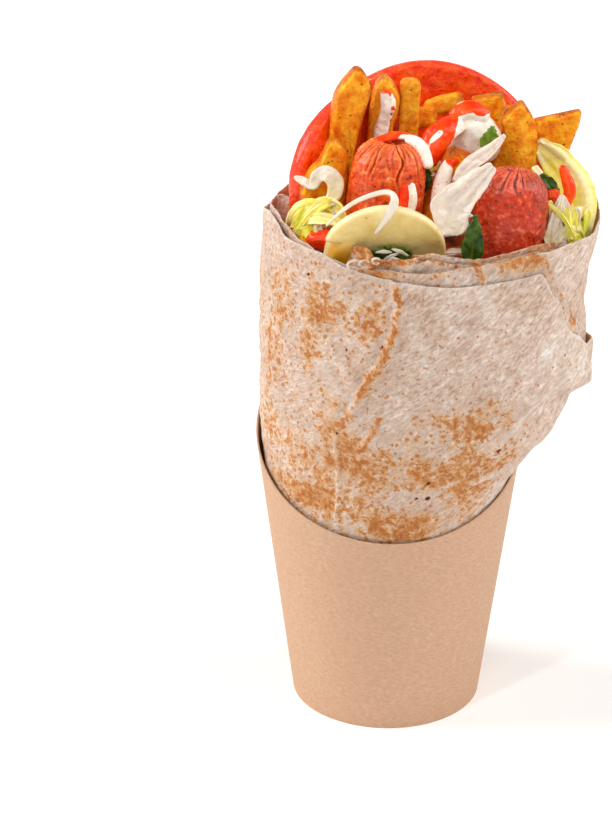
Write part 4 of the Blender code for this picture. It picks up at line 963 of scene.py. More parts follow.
def slab(name, outline, centre, facing, up, thickness, surface, slot, rim_width, relief, seed,
         paint, edge=0.18, facet=None):
    """A flat slice: a fine outline of (across, up) points with softened edges and uneven faces.

    The facet function gives how far the front face falls back at each (across, up). The paint
    function gives two values for each point from its place and its distance from the edge.
    """
    normal = Vector(facing).normalized()
    across = Vector(up).cross(normal).normalized()
    upward = np.array(normal.cross(across))
    normal, across, centre = np.array(normal), np.array(across), np.array(centre, float)
    outline = np.asarray(outline, float)
    reach = np.hypot(outline[:, 0], outline[:, 1])[:, None]
    soft = edge * 1.3 * thickness
    faces_in = [0.03, 0.15, 0.3, 0.44, 0.56, 0.67, 0.76, 0.84, 0.9, 0.95, 0.975]
    sides = (0.5, 0.44, 0.28, 0.0, -0.28, -0.44, -0.5)
    steps = [(share, 0.5) for share in faces_in] + [(1.0, depth) for depth in sides] \
        + [(share, -0.5) for share in faces_in[::-1]]
    rings, inward = [], []
    for share, depth in steps:
        pull = soft * ((abs(depth) - 0.28) / 0.22) ** 2 if abs(depth) > 0.28 else 0.0
        flat = outline * (share * (reach - pull) / reach)
        rings.append(centre + np.outer(flat[:, 0], across) + np.outer(flat[:, 1], upward)
                     + normal * depth * thickness)
        if facet is not None and depth > 0:
            rings[-1] -= np.outer(facet(flat[:, 0], flat[:, 1]) * min(1.0, depth / 0.44), normal)
        inward.append((reach - np.hypot(flat[:, 0], flat[:, 1])[:, None])[:, 0])
    points, faces = ring_skin(rings)
    away = np.concatenate([np.concatenate(inward), [reach.mean()] * 2])
    side = np.sign((points - centre) @ normal)
    bumps = relief * waves(points, 5.0, seed) + 0.4 * relief * waves(points, 1.8, seed + 1)
    points = points + normal * (side * bumps * ease(away / 2.0 + 0.2))[:, None]
    rim = ease(1.0 - away / rim_width)
    values = paint(points, away)
    make(name, hold_inside(points), faces, surface, [name], slot, (rim, *values))


def wedge(name, corners, centre, facing, up, thickness, seed, facet=None, dark=None, pale=0.2):
    """A broad piece of fried potato: straight cut sides, brown along its edges and at its tip."""
    outline = []
    for (x0, y0), (x1, y1) in zip(corners, corners[1:] + corners[:1]):
        parts = max(2, int(math.hypot(x1 - x0, y1 - y0) / 0.5))
        outline += [(x0 + (x1 - x0) * t, y0 + (y1 - y0) * t)
                    for t in np.linspace(0, 1, parts, endpoint=False)]
    outline = np.array(outline)
    shifts = (0, -2, -1, 1, 2)
    outline = sum(np.roll(outline, shift, axis=0) for shift in shifts) / len(shifts)
    normal = Vector(facing).normalized()
    across = np.array(Vector(up).cross(normal).normalized())
    upward = np.array(normal.cross(Vector(across)))
    top = max(y for _, y in corners)

    def tones(points, away):
        u, v = (points - np.array(centre)) @ across, (points - np.array(centre)) @ upward
        uneven = 0.5 + 0.6 * waves(points, 4.0, seed + 9)
        brown = 0.06 + 0.7 * uneven * ease((1.2 - away) / 1.2) \
            + 0.5 * uneven * ease((v - top + 3.5) / 3.5)
        if dark is not None:
            brown = brown + dark(u, v)
        light = pale + 0.7 * waves(points, 6.0, seed + 7)
        return np.clip(brown, 0, 1), np.clip(light, 0, 1)

    return slab(name, outline, centre, facing, up, thickness, POTATO, "fried_potato", 0.9, 0.32,
                seed, tones, 0.13, facet)


def disc_outline(radius, sides, wobble=0.01, start=0.0, sweep=360.0):
    """A nearly round outline, or its upper part closed by a straight cut where sweep is less."""
    turns = np.radians(start + sweep * np.linspace(0, 1, sides, endpoint=sweep < 360.0))
    size = radius * (1 + wobble * np.sin(2 * turns + 0.7) + wobble * 0.6 * np.sin(5 * turns))
    outline = np.stack([size * np.cos(turns), size * np.sin(turns)], -1)
    if sweep < 360.0:
        cut = outline[-1] + (outline[0] - outline[-1]) * np.linspace(0, 1, 40)[1:-1, None]
        outline = np.concatenate([outline, cut])
    return outline


def ribbon_shape(controls, widths, facing, thickness=1.0, curl=0.0, twist=0.0, ruffle=0.0,
                 pleats=0.0, rough=0.25, seed=1, green=(0.1, 0.1), rib=0.0, rib_at=0.0, torn=0.25,
                 cross=14):
    """Points, faces and paint of a thin wavy leaf or shred, with widths at even stops."""
    length = curve_length(controls)
    steps = max(24, int(length / MESH_STEP))
    stops = [(index / (len(widths) - 1), width) for index, width in enumerate(widths)]
    side = np.linspace(-1.0, 1.0, cross + 1)
    grid = np.zeros((steps + 1, cross + 1, 3))
    for step in range(steps + 1):
        t = step / steps
        here = curve_point(controls, t)
        along, across, out = frame_along(curve_ahead(controls, t), facing)
        turn = Matrix.Rotation(math.radians(twist * t), 3, along)
        across, out = np.array(turn @ across), np.array(turn @ out)
        ends = min(t, 1.0 - t) * length / 1.2
        round_off = math.sqrt(max(0.04, 1.0 - max(0.0, 1.0 - ends) ** 2))
        span = float(line_height(t, stops)) * round_off
        edge = 1.0 + torn * 0.25 * noise.noise(Vector((t * length * 0.5, seed, 0.3)))
        lift = curl * (side ** 2 - 0.4) * span / 2 + ruffle * side * np.sin(9.0 * t + 2.0 * side)
        lift = lift + 0.9 * rib * np.exp(-((side - rib_at) / 0.2) ** 2)
        lift = lift + pleats * np.sin(side * 8.5 + 2.5 * math.sin(3.0 * t) + seed) * math.sin(
            math.pi * min(1.0, t + 0.1))
        grid[step] = np.array(here) + np.outer(side * span / 2 * edge, across) + np.outer(lift, out)
    normal = normals_of(grid)
    flat = grid.reshape(-1, 3)
    bumps = rough * waves(flat, 3.2, seed) + 0.4 * rough * waves(flat, 1.2, seed + 1)
    grid = grid + normal * bumps.reshape(grid.shape[:2])[..., None]
    points, faces = thick_grid(grid, thickness, False, 0.3)
    share = np.linspace(0, 1, steps + 1)[:, None] + 0 * side[None, :]
    tint = green[0] + (green[1] - green[0]) * share + 0.25 * waves(flat, 7.0, seed + 4).reshape(
        share.shape)
    lines = 0.5 + 0.5 * np.cos(side[None, :] * 11.0 + 2.0 * np.sin(share * 5.0 + seed))
    vein = np.maximum(np.exp(-((side[None, :] - rib_at) / 0.36) ** 2) * rib, 0.45 * lines ** 4)
    return points, faces, (np.clip(both_skins(tint), 0, 1), both_skins(vein))


def ribbon(name, controls, widths, facing, surface, slot, thickness=1.0, curl=0.0, twist=0.0,
           ruffle=0.0, nodes=(), *form, **more_form):
    """One leaf or shred as a piece of its own. What follows the nodes goes on to ribbon_shape."""
    points, faces, paint = ribbon_shape(controls, widths, facing, thickness, curl, twist, ruffle,
                                        *form, **more_form)
    make(name, hold_inside(points), faces, surface, nodes, slot, paint)


def join(shapes):
    """Points and faces of several shapes as one."""
    faces, start = [], 0
    for points, own_faces in shapes:
        faces += [tuple(start + corner for corner in face) for face in own_faces]
        start += len(points)
    return np.concatenate([points for points, _ in shapes]), faces


def strew(name, shreds, node):
    """Shreds, given with their looks, joined into one piece of cabbage and one of lettuce."""
    for kind, surface in (("cabbage", CABBAGE), ("lettuce", LETTUCE)):
        own = [shape for look, shape in shreds if look is surface]
        points, faces = join([shape[:2] for shape in own])
        paint = [np.concatenate(values) for values in zip(*(shape[2] for shape in own))]
        make(f"{name}_{kind}", hold_inside(points), faces, surface, [node], "lettuce", paint)


def serrated_leaf(name, base, tip, width, facing, teeth, bow, light=0.0):
    """A small herb leaf with a toothed edge, bowed along its rib, with side veins."""
    base, tip = Vector(base), Vector(tip)
    along, across, out = (np.array(v) for v in frame_along(tip - base, facing))
    length = (tip - base).length
    rows = 16 * teeth
    t = np.linspace(0.0, 1.0, rows + 1)[:, None]
    side = np.linspace(-1.0, 1.0, 17)[None, :]
    half = width / 2 * np.sin(math.pi * np.clip(t ** 0.8, 0.07, 0.95)) ** 0.8
    saw = 1.0 - 0.3 * ((t * teeth * 1.6) % 1.0) * (0.6 + 0.4 * np.sin(t * 9.0 + 1.0))
    half = half * saw
    lift = bow * 4 * t * (1 - t) + np.abs(side) * half * 0.25 \
        + 0.3 * np.sin(t * 14.0 + side * 3.0 + 1.0) * np.abs(side)
    vein_wave = np.abs(((t - 0.25 * np.abs(side)) * teeth * 1.6) % 1.0 - 0.5)
    lift = lift - 0.12 * ease(1.0 - vein_wave / 0.2) - 0.2 * np.exp(-(side / 0.12) ** 2)
    grid = np.array(base) + t[..., None] * length * along + (half * side)[..., None] * across \
        + lift[..., None] * out
    points, faces = thick_grid(grid, 0.6, False, 0.35)
    vein = np.maximum(np.exp(-(side / 0.1) ** 2) + 0 * t, 0.5 * ease(1.0 - vein_wave / 0.12))
    vein = both_skins(vein)
    make(name, points, faces, HERB, [name], "herb", (vein, np.full(vein.shape, light)))


def blob_shape(centre, size, seed, lumps, rough):
    """Points and faces of a soft uneven lump."""
    rng = random.Random(seed)
    shape = bmesh.new()
    bmesh.ops.create_icosphere(shape, subdivisions=5, radius=1.0)
    swells = [(Vector([rng.uniform(-1, 1) for _ in range(3)]) * 3.0, rng.uniform(0, 6))
              for _ in range(4)]
    unit = np.array([tuple(vertex.co) for vertex in shape.verts])
    faces = [tuple(vertex.index for vertex in face.verts) for face in shape.faces]
    shape.free()
    swell = 1 + lumps * sum(np.sin(unit @ np.array(wave) + phase) for wave, phase in swells) / 2
    points = np.array(centre) + unit * np.array(size) * swell[:, None]
    return points + unit * (rough * waves(points, 3.0, seed))[:, None], faces


def salad_lump(name, centre, size, seed, node, tint):
    """A soft uneven lump of lettuce that the shreds lie on."""
    points, faces = blob_shape(centre, size, seed, 0.1, 1.0)
    make(name, hold_inside(points), faces, LETTUCE, [node], "lettuce", (np.full(len(points), tint),))


def bead_shape(controls, radius, flat=0.6, facing=FRONT, seed=1, rough=0.25, widths=None):
    """Points and faces of a run of thick sauce with round ends, flattened against its seat."""
    rings = []
    turns = np.linspace(0, math.tau, 40, endpoint=False)
    steps = max(20, int(curve_length(controls) / MESH_STEP))
    for step in range(steps + 1):
        t = step / steps
        here = curve_point(controls, t)
        _, across, out = (np.array(v) for v in frame_along(curve_ahead(controls, t), facing))
        size = radius * math.sin(math.pi * (0.12 + 0.76 * t)) ** 0.5
        if widths:
            size *= float(np.interp(t, np.linspace(0, 1, len(widths)), widths))
        size *= math.sqrt(max(0.02, 1.0 - max(0.0, 1.0 - min(t, 1 - t) / 0.09) ** 2))
        rings.append(np.array(here) + np.outer(size * np.cos(turns), across)
                     + np.outer(size * flat * np.sin(turns), out))
    points, faces = ring_skin(rings)
    bumps = rough * waves(points, 2.6, seed)
    return points + bumps[:, None] * np.array(Vector(facing).normalized()), faces


def away_from(points, controls):
    """Distance in millimetres from points to the curve through the control points."""
    curve = np.array([tuple(curve_point(controls, t)) for t in np.linspace(0, 1, 24)])
    return np.min(np.linalg.norm(points[:, None, :] - curve[None, :, :], axis=2), axis=1)


def melt(name, shapes, slot, node, paint, voxel, smooth=4):
    """Shapes of sauce run together into one soft skin, coloured by the paint function."""
    points, faces = join(shapes)
    mesh = bpy.data.meshes.new(name + "_parts")
    mesh.from_pydata(points.tolist(), [], faces)
    carrier = bpy.data.objects.new(name + "_parts", mesh)
    scene.collection.objects.link(carrier)
    remesh = carrier.modifiers.new("remesh", "REMESH")
    remesh.mode = "VOXEL"
    remesh.voxel_size = voxel
    soften = carrier.modifiers.new("soften", "SMOOTH")
    soften.iterations = smooth
    soften.factor = 0.5
    joined = carrier.evaluated_get(bpy.context.evaluated_depsgraph_get()).to_mesh()
    skin = np.array([tuple(vertex.co) for vertex in joined.vertices])
    skin_faces = [tuple(face.vertices) for face in joined.polygons]
    bpy.data.objects.remove(carrier)
    bpy.data.meshes.remove(mesh)
    make(name, hold_inside(skin), skin_faces, SAUCE, [node], slot, paint(skin), sharp=80)


# Food, placed as in the part's source, apart from herb_sauce

def filling():
    """What fills the roll under the pieces that show, dark as a painted shade for the gaps between them.
    """
    columns = 120
    angles = np.linspace(0.0, 360.0, columns, endpoint=False)
    wall = BREAD_WALL + FILLING_GAP
    levels = [(BREAD_BOTTOM + 7.0, wall + 1.5), (30.0, wall), (76.0, wall), (86.0, wall),
              (94.0, wall), (104.0, wall), (118.0, wall), (132.0, wall + 1.4), (FILLING_EDGE, wall + 3.2)]
    rings = [bread_point(angles, np.full(columns, height), -offset) for height, offset in levels]
    edge = rings[-1]
    middle = np.array([13.0, 2.0, 0.0])
    for reach, rise in ((0.97, 5.0), (0.92, 9.0), (0.82, 12.5), (0.72, 15.0), (0.6, 17.8),
                        (0.45, 20.0), (0.3, 21.8), (0.18, 23.0), (0.06, 23.2)):
        here = middle + (edge * [1, 1, 0] - middle) * reach
        here[:, 2] = FILLING_EDGE + rise * (0.62 + 0.5 * ease((here[:, 1] + 40.0) / 60.0))
        rings.append(here)
    points, faces = ring_skin(rings)
    points[:, 2] += np.where(points[:, 2] > FILLING_EDGE + 1.0, 1.6, 0.0) * waves(points, 5.0, 4)
    make("filling_bed", points, faces, FILLING_AND_SHADE, ["filling_core"], "filling")


def sausages():
    """Two frankfurters, with mayonnaise and ketchup on the left one."""
    sausage("sausage_left", (-0.8, -15.0, 193.4), (-5.0, -16.0, 158.0), 11.4, 3, SAUSAGE_LEFT, 0.28,
            33, 0.8, 25.0)
    sausage("sausage_right", (36.2, -18.6, 185.6), (31.8, -23.0, 150.0), 11.3, 8, SAUSAGE_RIGHT,
            0.08, 19, 0.6, 17.0, [(-1.35, 26.0, 0.5, 1.1), (-0.75, 20.0, 0.08, 4.0)])
    arc = [(3.0, -14.5, 195.2), (7.6, -15.5, 193.0), (10.2, -19.0, 187.0)]
    smear = [(-6.0, -15.4, 194.6), (0.5, -13.6, 195.8), (5.8, -12.6, 194.6)]
    white_drip = [(4.8, -25.2, 184.8), (5.4, -26.8, 180.0), (4.6, -27.6, 175.6)]
    red_drip = [(2.6, -25.4, 184.6), (2.6, -27.0, 179.5), (1.4, -27.6, 174.6), (2.2, -27.8, 172.6)]

    def red(points):
        near_red = np.minimum(away_from(points, smear), away_from(points, red_drip))
        near_white = np.minimum(away_from(points, arc), away_from(points, white_drip))
        return (ease(0.5 + (near_white - near_red - 0.2 + 0.5 * waves(points, 3.0, 6)) / 0.9),)

    melt("sauce_on_sausage", [bead_shape(arc, 2.3, facing=(0.3, -0.5, 1)),
                              bead_shape(smear, 1.9, 0.45, (0, -0.3, 1), 4),
                              bead_shape(white_drip, 1.1, 0.75),
                              bead_shape(red_drip, 1.8, 0.6)],
         "mayonnaise", "sausage_left", red, 0.3)


# Outlines of the broad pieces of potato as (across, up) about their centres
WEDGE_1 = [(2.3, 16.9), (4.4, 15.9), (7.2, 11.2), (6.9, 7.8), (4.8, 1.7), (3.1, -4.7), (1.6, -11.1),
           (0.5, -34.0), (-7.1, -34.0), (-7.4, -12.7), (-6.5, -5.6), (-5.6, 1.7), (-4.4, 8.1),
           (-2.6, 11.5), (-0.4, 14.1)]
WEDGE_2 = [(1.8, 11.5), (3.6, 11.5), (6.1, 9.3), (7.6, 3.6), (7.4, -4.4), (5.9, -22.0),
           (-6.0, -22.0), (-7.2, -7.3), (-7.2, -4.4), (-6.3, -1.5), (-4.2, 2.3), (-1.5, 4.5)]
WEDGE_3 = [(0.3, 12.5), (2.8, 10.0), (5.3, 6.0), (4.5, 0.7), (3.0, -3.8), (1.6, -28.0),
           (-4.7, -28.0), (-5.2, -7.4), (-4.5, 2.3), (-2.4, 10.0)]
WEDGE_7 = [(-6.1, 5.0), (3.4, 6.9), (4.8, 3.7), (3.7, -1.5), (2.6, -22.0), (-4.2, -22.0),
           (-4.5, 0.4)]
WEDGE_9 = [(1.6, 13.3), (4.4, 9.3), (6.6, 4.9), (6.8, -6.4), (6.4, -26.0), (-5.4, -26.0),
           (-7.4, -5.4), (-5.7, -1.1), (-3.7, 4.2), (-4.8, 6.8), (-0.4, 11.9)]
WEDGE_10 = [(6.6, 3.0), (7.1, 7.1), (-7.9, 3.9), (-6.4, -6.0), (-3.0, -14.0), (1.0, -13.5),
            (2.8, -7.7)]


def fries():
    """Six broad pieces and five sticks of potato, two of them with sauce."""
    def beyond(x0, y0, x1, y1, slope):
        """How far a face falls back to the right of the line through two (across, up) points."""
        return lambda u, v: slope * np.maximum(0.0, u - (x0 + (v - y0) * (x1 - x0) / (y1 - y0)))

    def tent(u, v):
        crest = 1.6 + (13.3 - v) * -0.052
        return 0.42 * np.abs(u - crest)

    wedge("fry_1", WEDGE_1, (-13.8, 4.0, 194.8), (0.1, -1, 0.08), (0, 0.08, 1), 8.6, 11,
          beyond(4.4, 11.0, -3.0, -20.0, 0.9),
          lambda u, v: 0.5 * ease((u - 5.2 + (11.0 - v) * 0.24) / 1.4), 0.3)
    wedge("fry_2", WEDGE_2, (-21.3, -10.0, 181.9), (0.1, -1, 0.12), (0, 0.12, 1), 8.0, 12,
          beyond(4.6, 9.0, 2.6, -20.0, 0.6),
          lambda u, v: 0.25 * ease((u - 3.6) / 1.4), 0.4)
    wedge("fry_3", WEDGE_3, (-2.7, 13.0, 194.3), (0, -1, 0.08), (0, 0.08, 1), 7.4, 13, None,
          None, 0.4)
    # fry_4 is painted paler and less brown than the other fries: a painted light against the shade it
    # stands in between them.
    stick("fry_4", (4.2, 12.0, 168.0), (5.6, 15.0, 205.0), 6.4, 6.0, tip_size=0.95, seed=14,
          brown=-0.2, pale=0.8)
    stick("fry_5", (4.6, 18.6, 190.6), (14.6, 19.0, 191.6), 6.4, 6.0, (0, -1, 0.2), 0.9, seed=15,
          brown=0.3)
    stick("fry_6", (10.6, 25.0, 192.0), (22.6, 24.0, 195.6), 5.4, 6.0, (0, -1, 0.2), 0.85, seed=16,
          brown=0.2, pale=0.5)
    wedge("fry_7", WEDGE_7, (30.8, 19.0, 192.4), (0, -1, 0.08), (0, 0.08, 1), 6.6, 17, None,
          lambda u, v: 0.2 * ease((u - 1.0) / 2.0), 0.2)
    stick("fry_8", (38.4, 26.0, 170.0), (36.8, 25.0, 193.0), 4.6, 6.0, tip_size=0.9, seed=18,
          pale=0.4)
    wedge("fry_9", WEDGE_9, (37.9, 6.0, 187.2), (-0.05, -1, 0.1), (0, 0.1, 1), 8.0, 19, tent,
          lambda u, v: 0.22 * ease((1.2 - u) / 1.5), 0.15)
    wedge("fry_10", WEDGE_10, (51.5, 12.6, 188.5), (0, -1, 0.1), (0, 0.1, 1), 6.4, 20)
    stick("fry_11", (8.8, -15.8, 160.0), (20.6, -7.4, 189.6), 9.6, 9.0, (0.1, -1, 0.3), 0.8,
          seed=21, brown=0.15, brown_side=0.5)
    streak = [(-2.6, 9.6, 203.0), (-1.4, 8.6, 198.0), (-3.4, 8.0, 191.0), (-4.2, 7.6, 185.5)]

    def flecks(points):
        return (0.75 * ease((points[:, 2] - 200.6) / 2.6)
                + 0.9 * ease((waves(points, 2.6, 9) - 0.1) / 0.2)
                * ease((points[:, 0] + 1.6) / 1.2),)

    melt("mayonnaise_streak", [bead_shape(streak, 2.7, seed=7, rough=0.55,
                                          widths=(0.8, 1.0, 0.75, 0.9, 0.8))],
         "mayonnaise", "fry_3", flecks, 0.3)
    coat = [(17.0, -11.6, 187.4), (14.8, -15.6, 183.6), (13.2, -19.4, 177.0), (13.2, -20.8, 171.5)]
    blots = [[(17.4, -12.8, 187.8), (18.6, -12.6, 186.0)],
             [(18.4, -13.4, 182.6), (20.2, -13.0, 183.4)],
             [(20.0, -12.6, 179.4), (20.6, -12.8, 181.2)]]

    def spots(points):
        near = np.min([away_from(points, blot) for blot in blots], axis=0)
        return (ease((2.3 - near) / 0.5),)

    melt("sauce_on_fry", [bead_shape(coat, 2.6, 0.6, (0, -1, 0.3), 9, 0.4, (0.8, 1.0, 1.0, 0.6))]
         + [bead_shape(blot, 1.7, 0.5, (0, -1, 0.4), 5) for blot in blots],
         "mayonnaise", "fry_11", spots, 0.3)


def flesh(reach, share):
    """Paint for a tomato slice: deeper red from its rim to reach millimetres in."""
    return lambda points, away: (ease(away / reach) * share, np.zeros(len(points)))


def slices():
    """Slices of tomato and gherkin."""
    stick("tomato_front", (-31.5, -22.5, 167.6), (-17.5, -31.0, 168.4), 7.0, 6.0, (0, -0.5, 1), 0.7,
          seed=24, surface=TOMATO, brown=0.3, square=3.0)
    slab("tomato_back", disc_outline(39.5, 150, 0.008, -12.0, 204.0), (11.5, 34.6, 164.2),
         (0.0, -0.985, 0.17), (0, 0.17, 0.985), 6.0, TOMATO, "tomato", 1.3, 0.5, 31,
         flesh(20.0, 0.2))
    slab("tomato_left", disc_outline(28.0, 110, 0.012, -25.0, 230.0), (-10.6, 12.0, 173.0),
         (0.7, -0.7, 0.1), (0.0, 0.12, 0.99), 6.0, TOMATO, "tomato", 1.1, 0.4, 32, flesh(14.0, 0.25))
    slab("gherkin_slice", disc_outline(18.0, 110, 0.01), (-3.5, -36.0, 166.8), (0.0, -0.92, -0.39),
         (0, -0.39, 0.92), 3.0, GHERKIN, "gherkin", 0.5, 0.14, 33,
         lambda points, away: (ease((-8.0 - points[:, 0]) / 7.0) * ease((174 - points[:, 2]) / 9.0),
                               np.zeros(len(points))))


def sauces():
    """The heap of mayonnaise behind the sausages, ketchup over it, and the drip at the right."""
    cap = [(18.0, 4.6, 195.4), (23.0, 5.4, 198.0), (29.5, 4.6, 195.8)]
    stream = [(21.0, 2.6, 195.0), (15.5, -0.5, 193.0), (11.6, -3.8, 189.0), (9.6, -6.4, 183.5)]
    tail = [(30.5, 3.0, 196.0), (32.6, 0.6, 193.0), (33.4, -1.0, 190.0)]

    def red(points):
        edge = 0.55 * waves(points, 3.5, 12)
        run = ease((4.75 + edge - away_from(points, stream)) / 0.5) \
            * ease((18.2 + 0.25 * (points[:, 2] - 190.0) + edge - points[:, 0]) / 0.6)
        share = np.maximum(ease((3.2 + edge - away_from(points, cap)) / 0.5)
                           * ease((points[:, 2] - 196.4 + edge) / 0.5), run)
        share = np.maximum(share, 0.7 * ease((1.3 + edge - away_from(points, tail)) / 0.5))
        bits = ease((1.1 + edge - away_from(points, [(9.8, -7.0, 189.4), (11.6, -5.6, 191.6),
                                                     (14.0, -4.2, 193.4)])) / 0.5)
        return (np.clip(share - bits, 0, 1),)

    melt("sauce_heap", [blob_shape((25.0, 5.2, 187.6), (8.8, 5.6, 8.6), 5, 0.08, 0.45),
                        bead_shape(cap, 3.3, facing=(0, -0.6, 1), rough=0.4),
                        bead_shape(stream, 4.4, facing=(0, -0.8, 1), rough=0.5)],
         "mayonnaise", "sauce_dollop", red, 0.36, 3)
    drip = [(50.8, -8.0, 184.6), (53.4, -11.0, 177.6), (52.0, -13.4, 172.6), (55.0, -15.5, 167.6)]
    melt("ketchup_drip", [bead_shape(drip, 2.2, facing=(0, -1, 0.4),
                                     widths=(0.8, 1.0, 0.8, 1.0, 0.7))],
         "ketchup", "ketchup_drip", lambda points: (np.ones(len(points)),), 0.26, 2)


def parsley(name, base, tip, height, facing):
    """A frilly leaf edge: a bowed strip whose upper edge is cut into round lobes."""
    base, tip = Vector(base), Vector(tip)
    along, across, out = (np.array(v) for v in frame_along(tip - base, facing))
    length = (tip - base).length
    t = np.linspace(0.0, 1.0, 120)[:, None]
    v = np.linspace(0.0, 1.0, 20)[None, :]
    lobes = np.abs(np.sin(t * math.pi * 7.0 + 0.6 * np.sin(t * 9.0 + 2.0))) ** 0.6
    tall = height * (0.25 + 0.75 * np.sin(math.pi * np.clip(t, 0.03, 0.97)) ** 0.7) \
        * (0.72 + 0.28 * lobes)
    frill = 0.45 * np.sin(t * 44.0) * v ** 2 + 0.35 * np.sin(t * 17.0 + 5 * v)
    grid = np.array(base) + t[..., None] * length * along - ((v - 0.5) * tall)[..., None] * across \
        + frill[..., None] * out
    points, faces = thick_grid(grid, 0.6, False, 0.35)
    vein = both_skins(0.6 * ease(1.0 - lobes / 0.3) + 0 * v)
    light = both_skins(0.25 * v ** 2 + 0 * t)
    make(name, points, faces, HERB, [name], "herb", (vein, light))


def loose_shreds(count=64):
    """Shreds of cabbage and lettuce strewn over the filling, seen from above between the pieces."""
    rng = random.Random(77)
    middle, turns, radii = LIMITS[150]
    shreds = []
    for index in range(count):
        turn, reach = rng.uniform(-math.pi, math.pi), math.sqrt(rng.uniform(0.02, 0.86))
        away = reach * np.interp(turn, turns, radii, period=math.tau)
        x, y = middle + away * np.array([math.cos(turn), math.sin(turn)])
        rise = 6.0 + 17.0 * float(ease((0.98 - reach) / 0.75))
        top = 149.5 + rise * (0.62 + 0.5 * float(ease((y + 40.0) / 60.0)))
        heading = turn + rng.choice((-1, 1)) * rng.uniform(0.9, 1.9)
        length = rng.uniform(4.0, 8.0)
        run = [(x + length * s * math.cos(heading + 0.5 * s),
                y + length * s * math.sin(heading + 0.5 * s),
                top + 1.8 * (1.0 - s * s) + 1.7 + rng.uniform(-0.4, 1.0))
               for s in (-1, -0.4, 0.3, 1)]
        broad, pale = rng.uniform(1.8, 4.2), rng.random()
        shape = ribbon_shape(run, (0.4 * broad, broad, 0.8 * broad, 0.4 * broad), (0, -0.2, 1), 0.5,
                             rng.uniform(0.3, 0.8), rng.uniform(-40, 40), 0.2, 0.25, 0.15,
                             200 + index, (0.5 * (1 - pale), 0.9 * (1 - pale)), cross=8)
        shreds.append((CABBAGE if pale > 0.55 else LETTUCE, shape))
    strew("loose_shreds", shreds, "filling_core")


def tuft(name, crown, low, high, count, seed, node):
    """Thin shreds of cabbage and lettuce that fall from a crown to places between low and high."""
    rng = random.Random(seed)
    crown, low, high = np.array(crown), np.array(low), np.array(high)
    shreds = []
    for index in range(count):
        foot = low + (high - low) * np.array([rng.random() for _ in range(3)])
        head = crown + np.array([rng.uniform(-5.0, 5.0), rng.uniform(-2.0, 2.0),
                                 rng.uniform(-4.0, 1.0)])
        sway = rng.uniform(-2.4, 2.4)
        run = [tuple(head + (foot - head) * t + np.array([sway * math.sin(3.0 * t + index), -0.9,
                                                          2.4 * math.sin(math.pi * t) - 0.4]))
               for t in (0.0, 0.3, 0.6, 0.85, 1.0)]
        pale = rng.random()
        broad = rng.uniform(1.0, 2.4)
        shape = ribbon_shape(run, (0.4 * broad, 0.8 * broad, broad, 0.7 * broad),
                             (rng.uniform(-0.5, 0.5), -1, 0.4), 0.5, rng.uniform(0.3, 0.8),
                             rng.uniform(-50, 50), 0.1, 0.2, 0.1, seed + index,
                             (0.5 * (1 - pale), 1.0 * (1 - pale)), cross=8)
        shreds.append((CABBAGE if pale > 0.5 else LETTUCE, shape))
    strew(name, shreds, node)


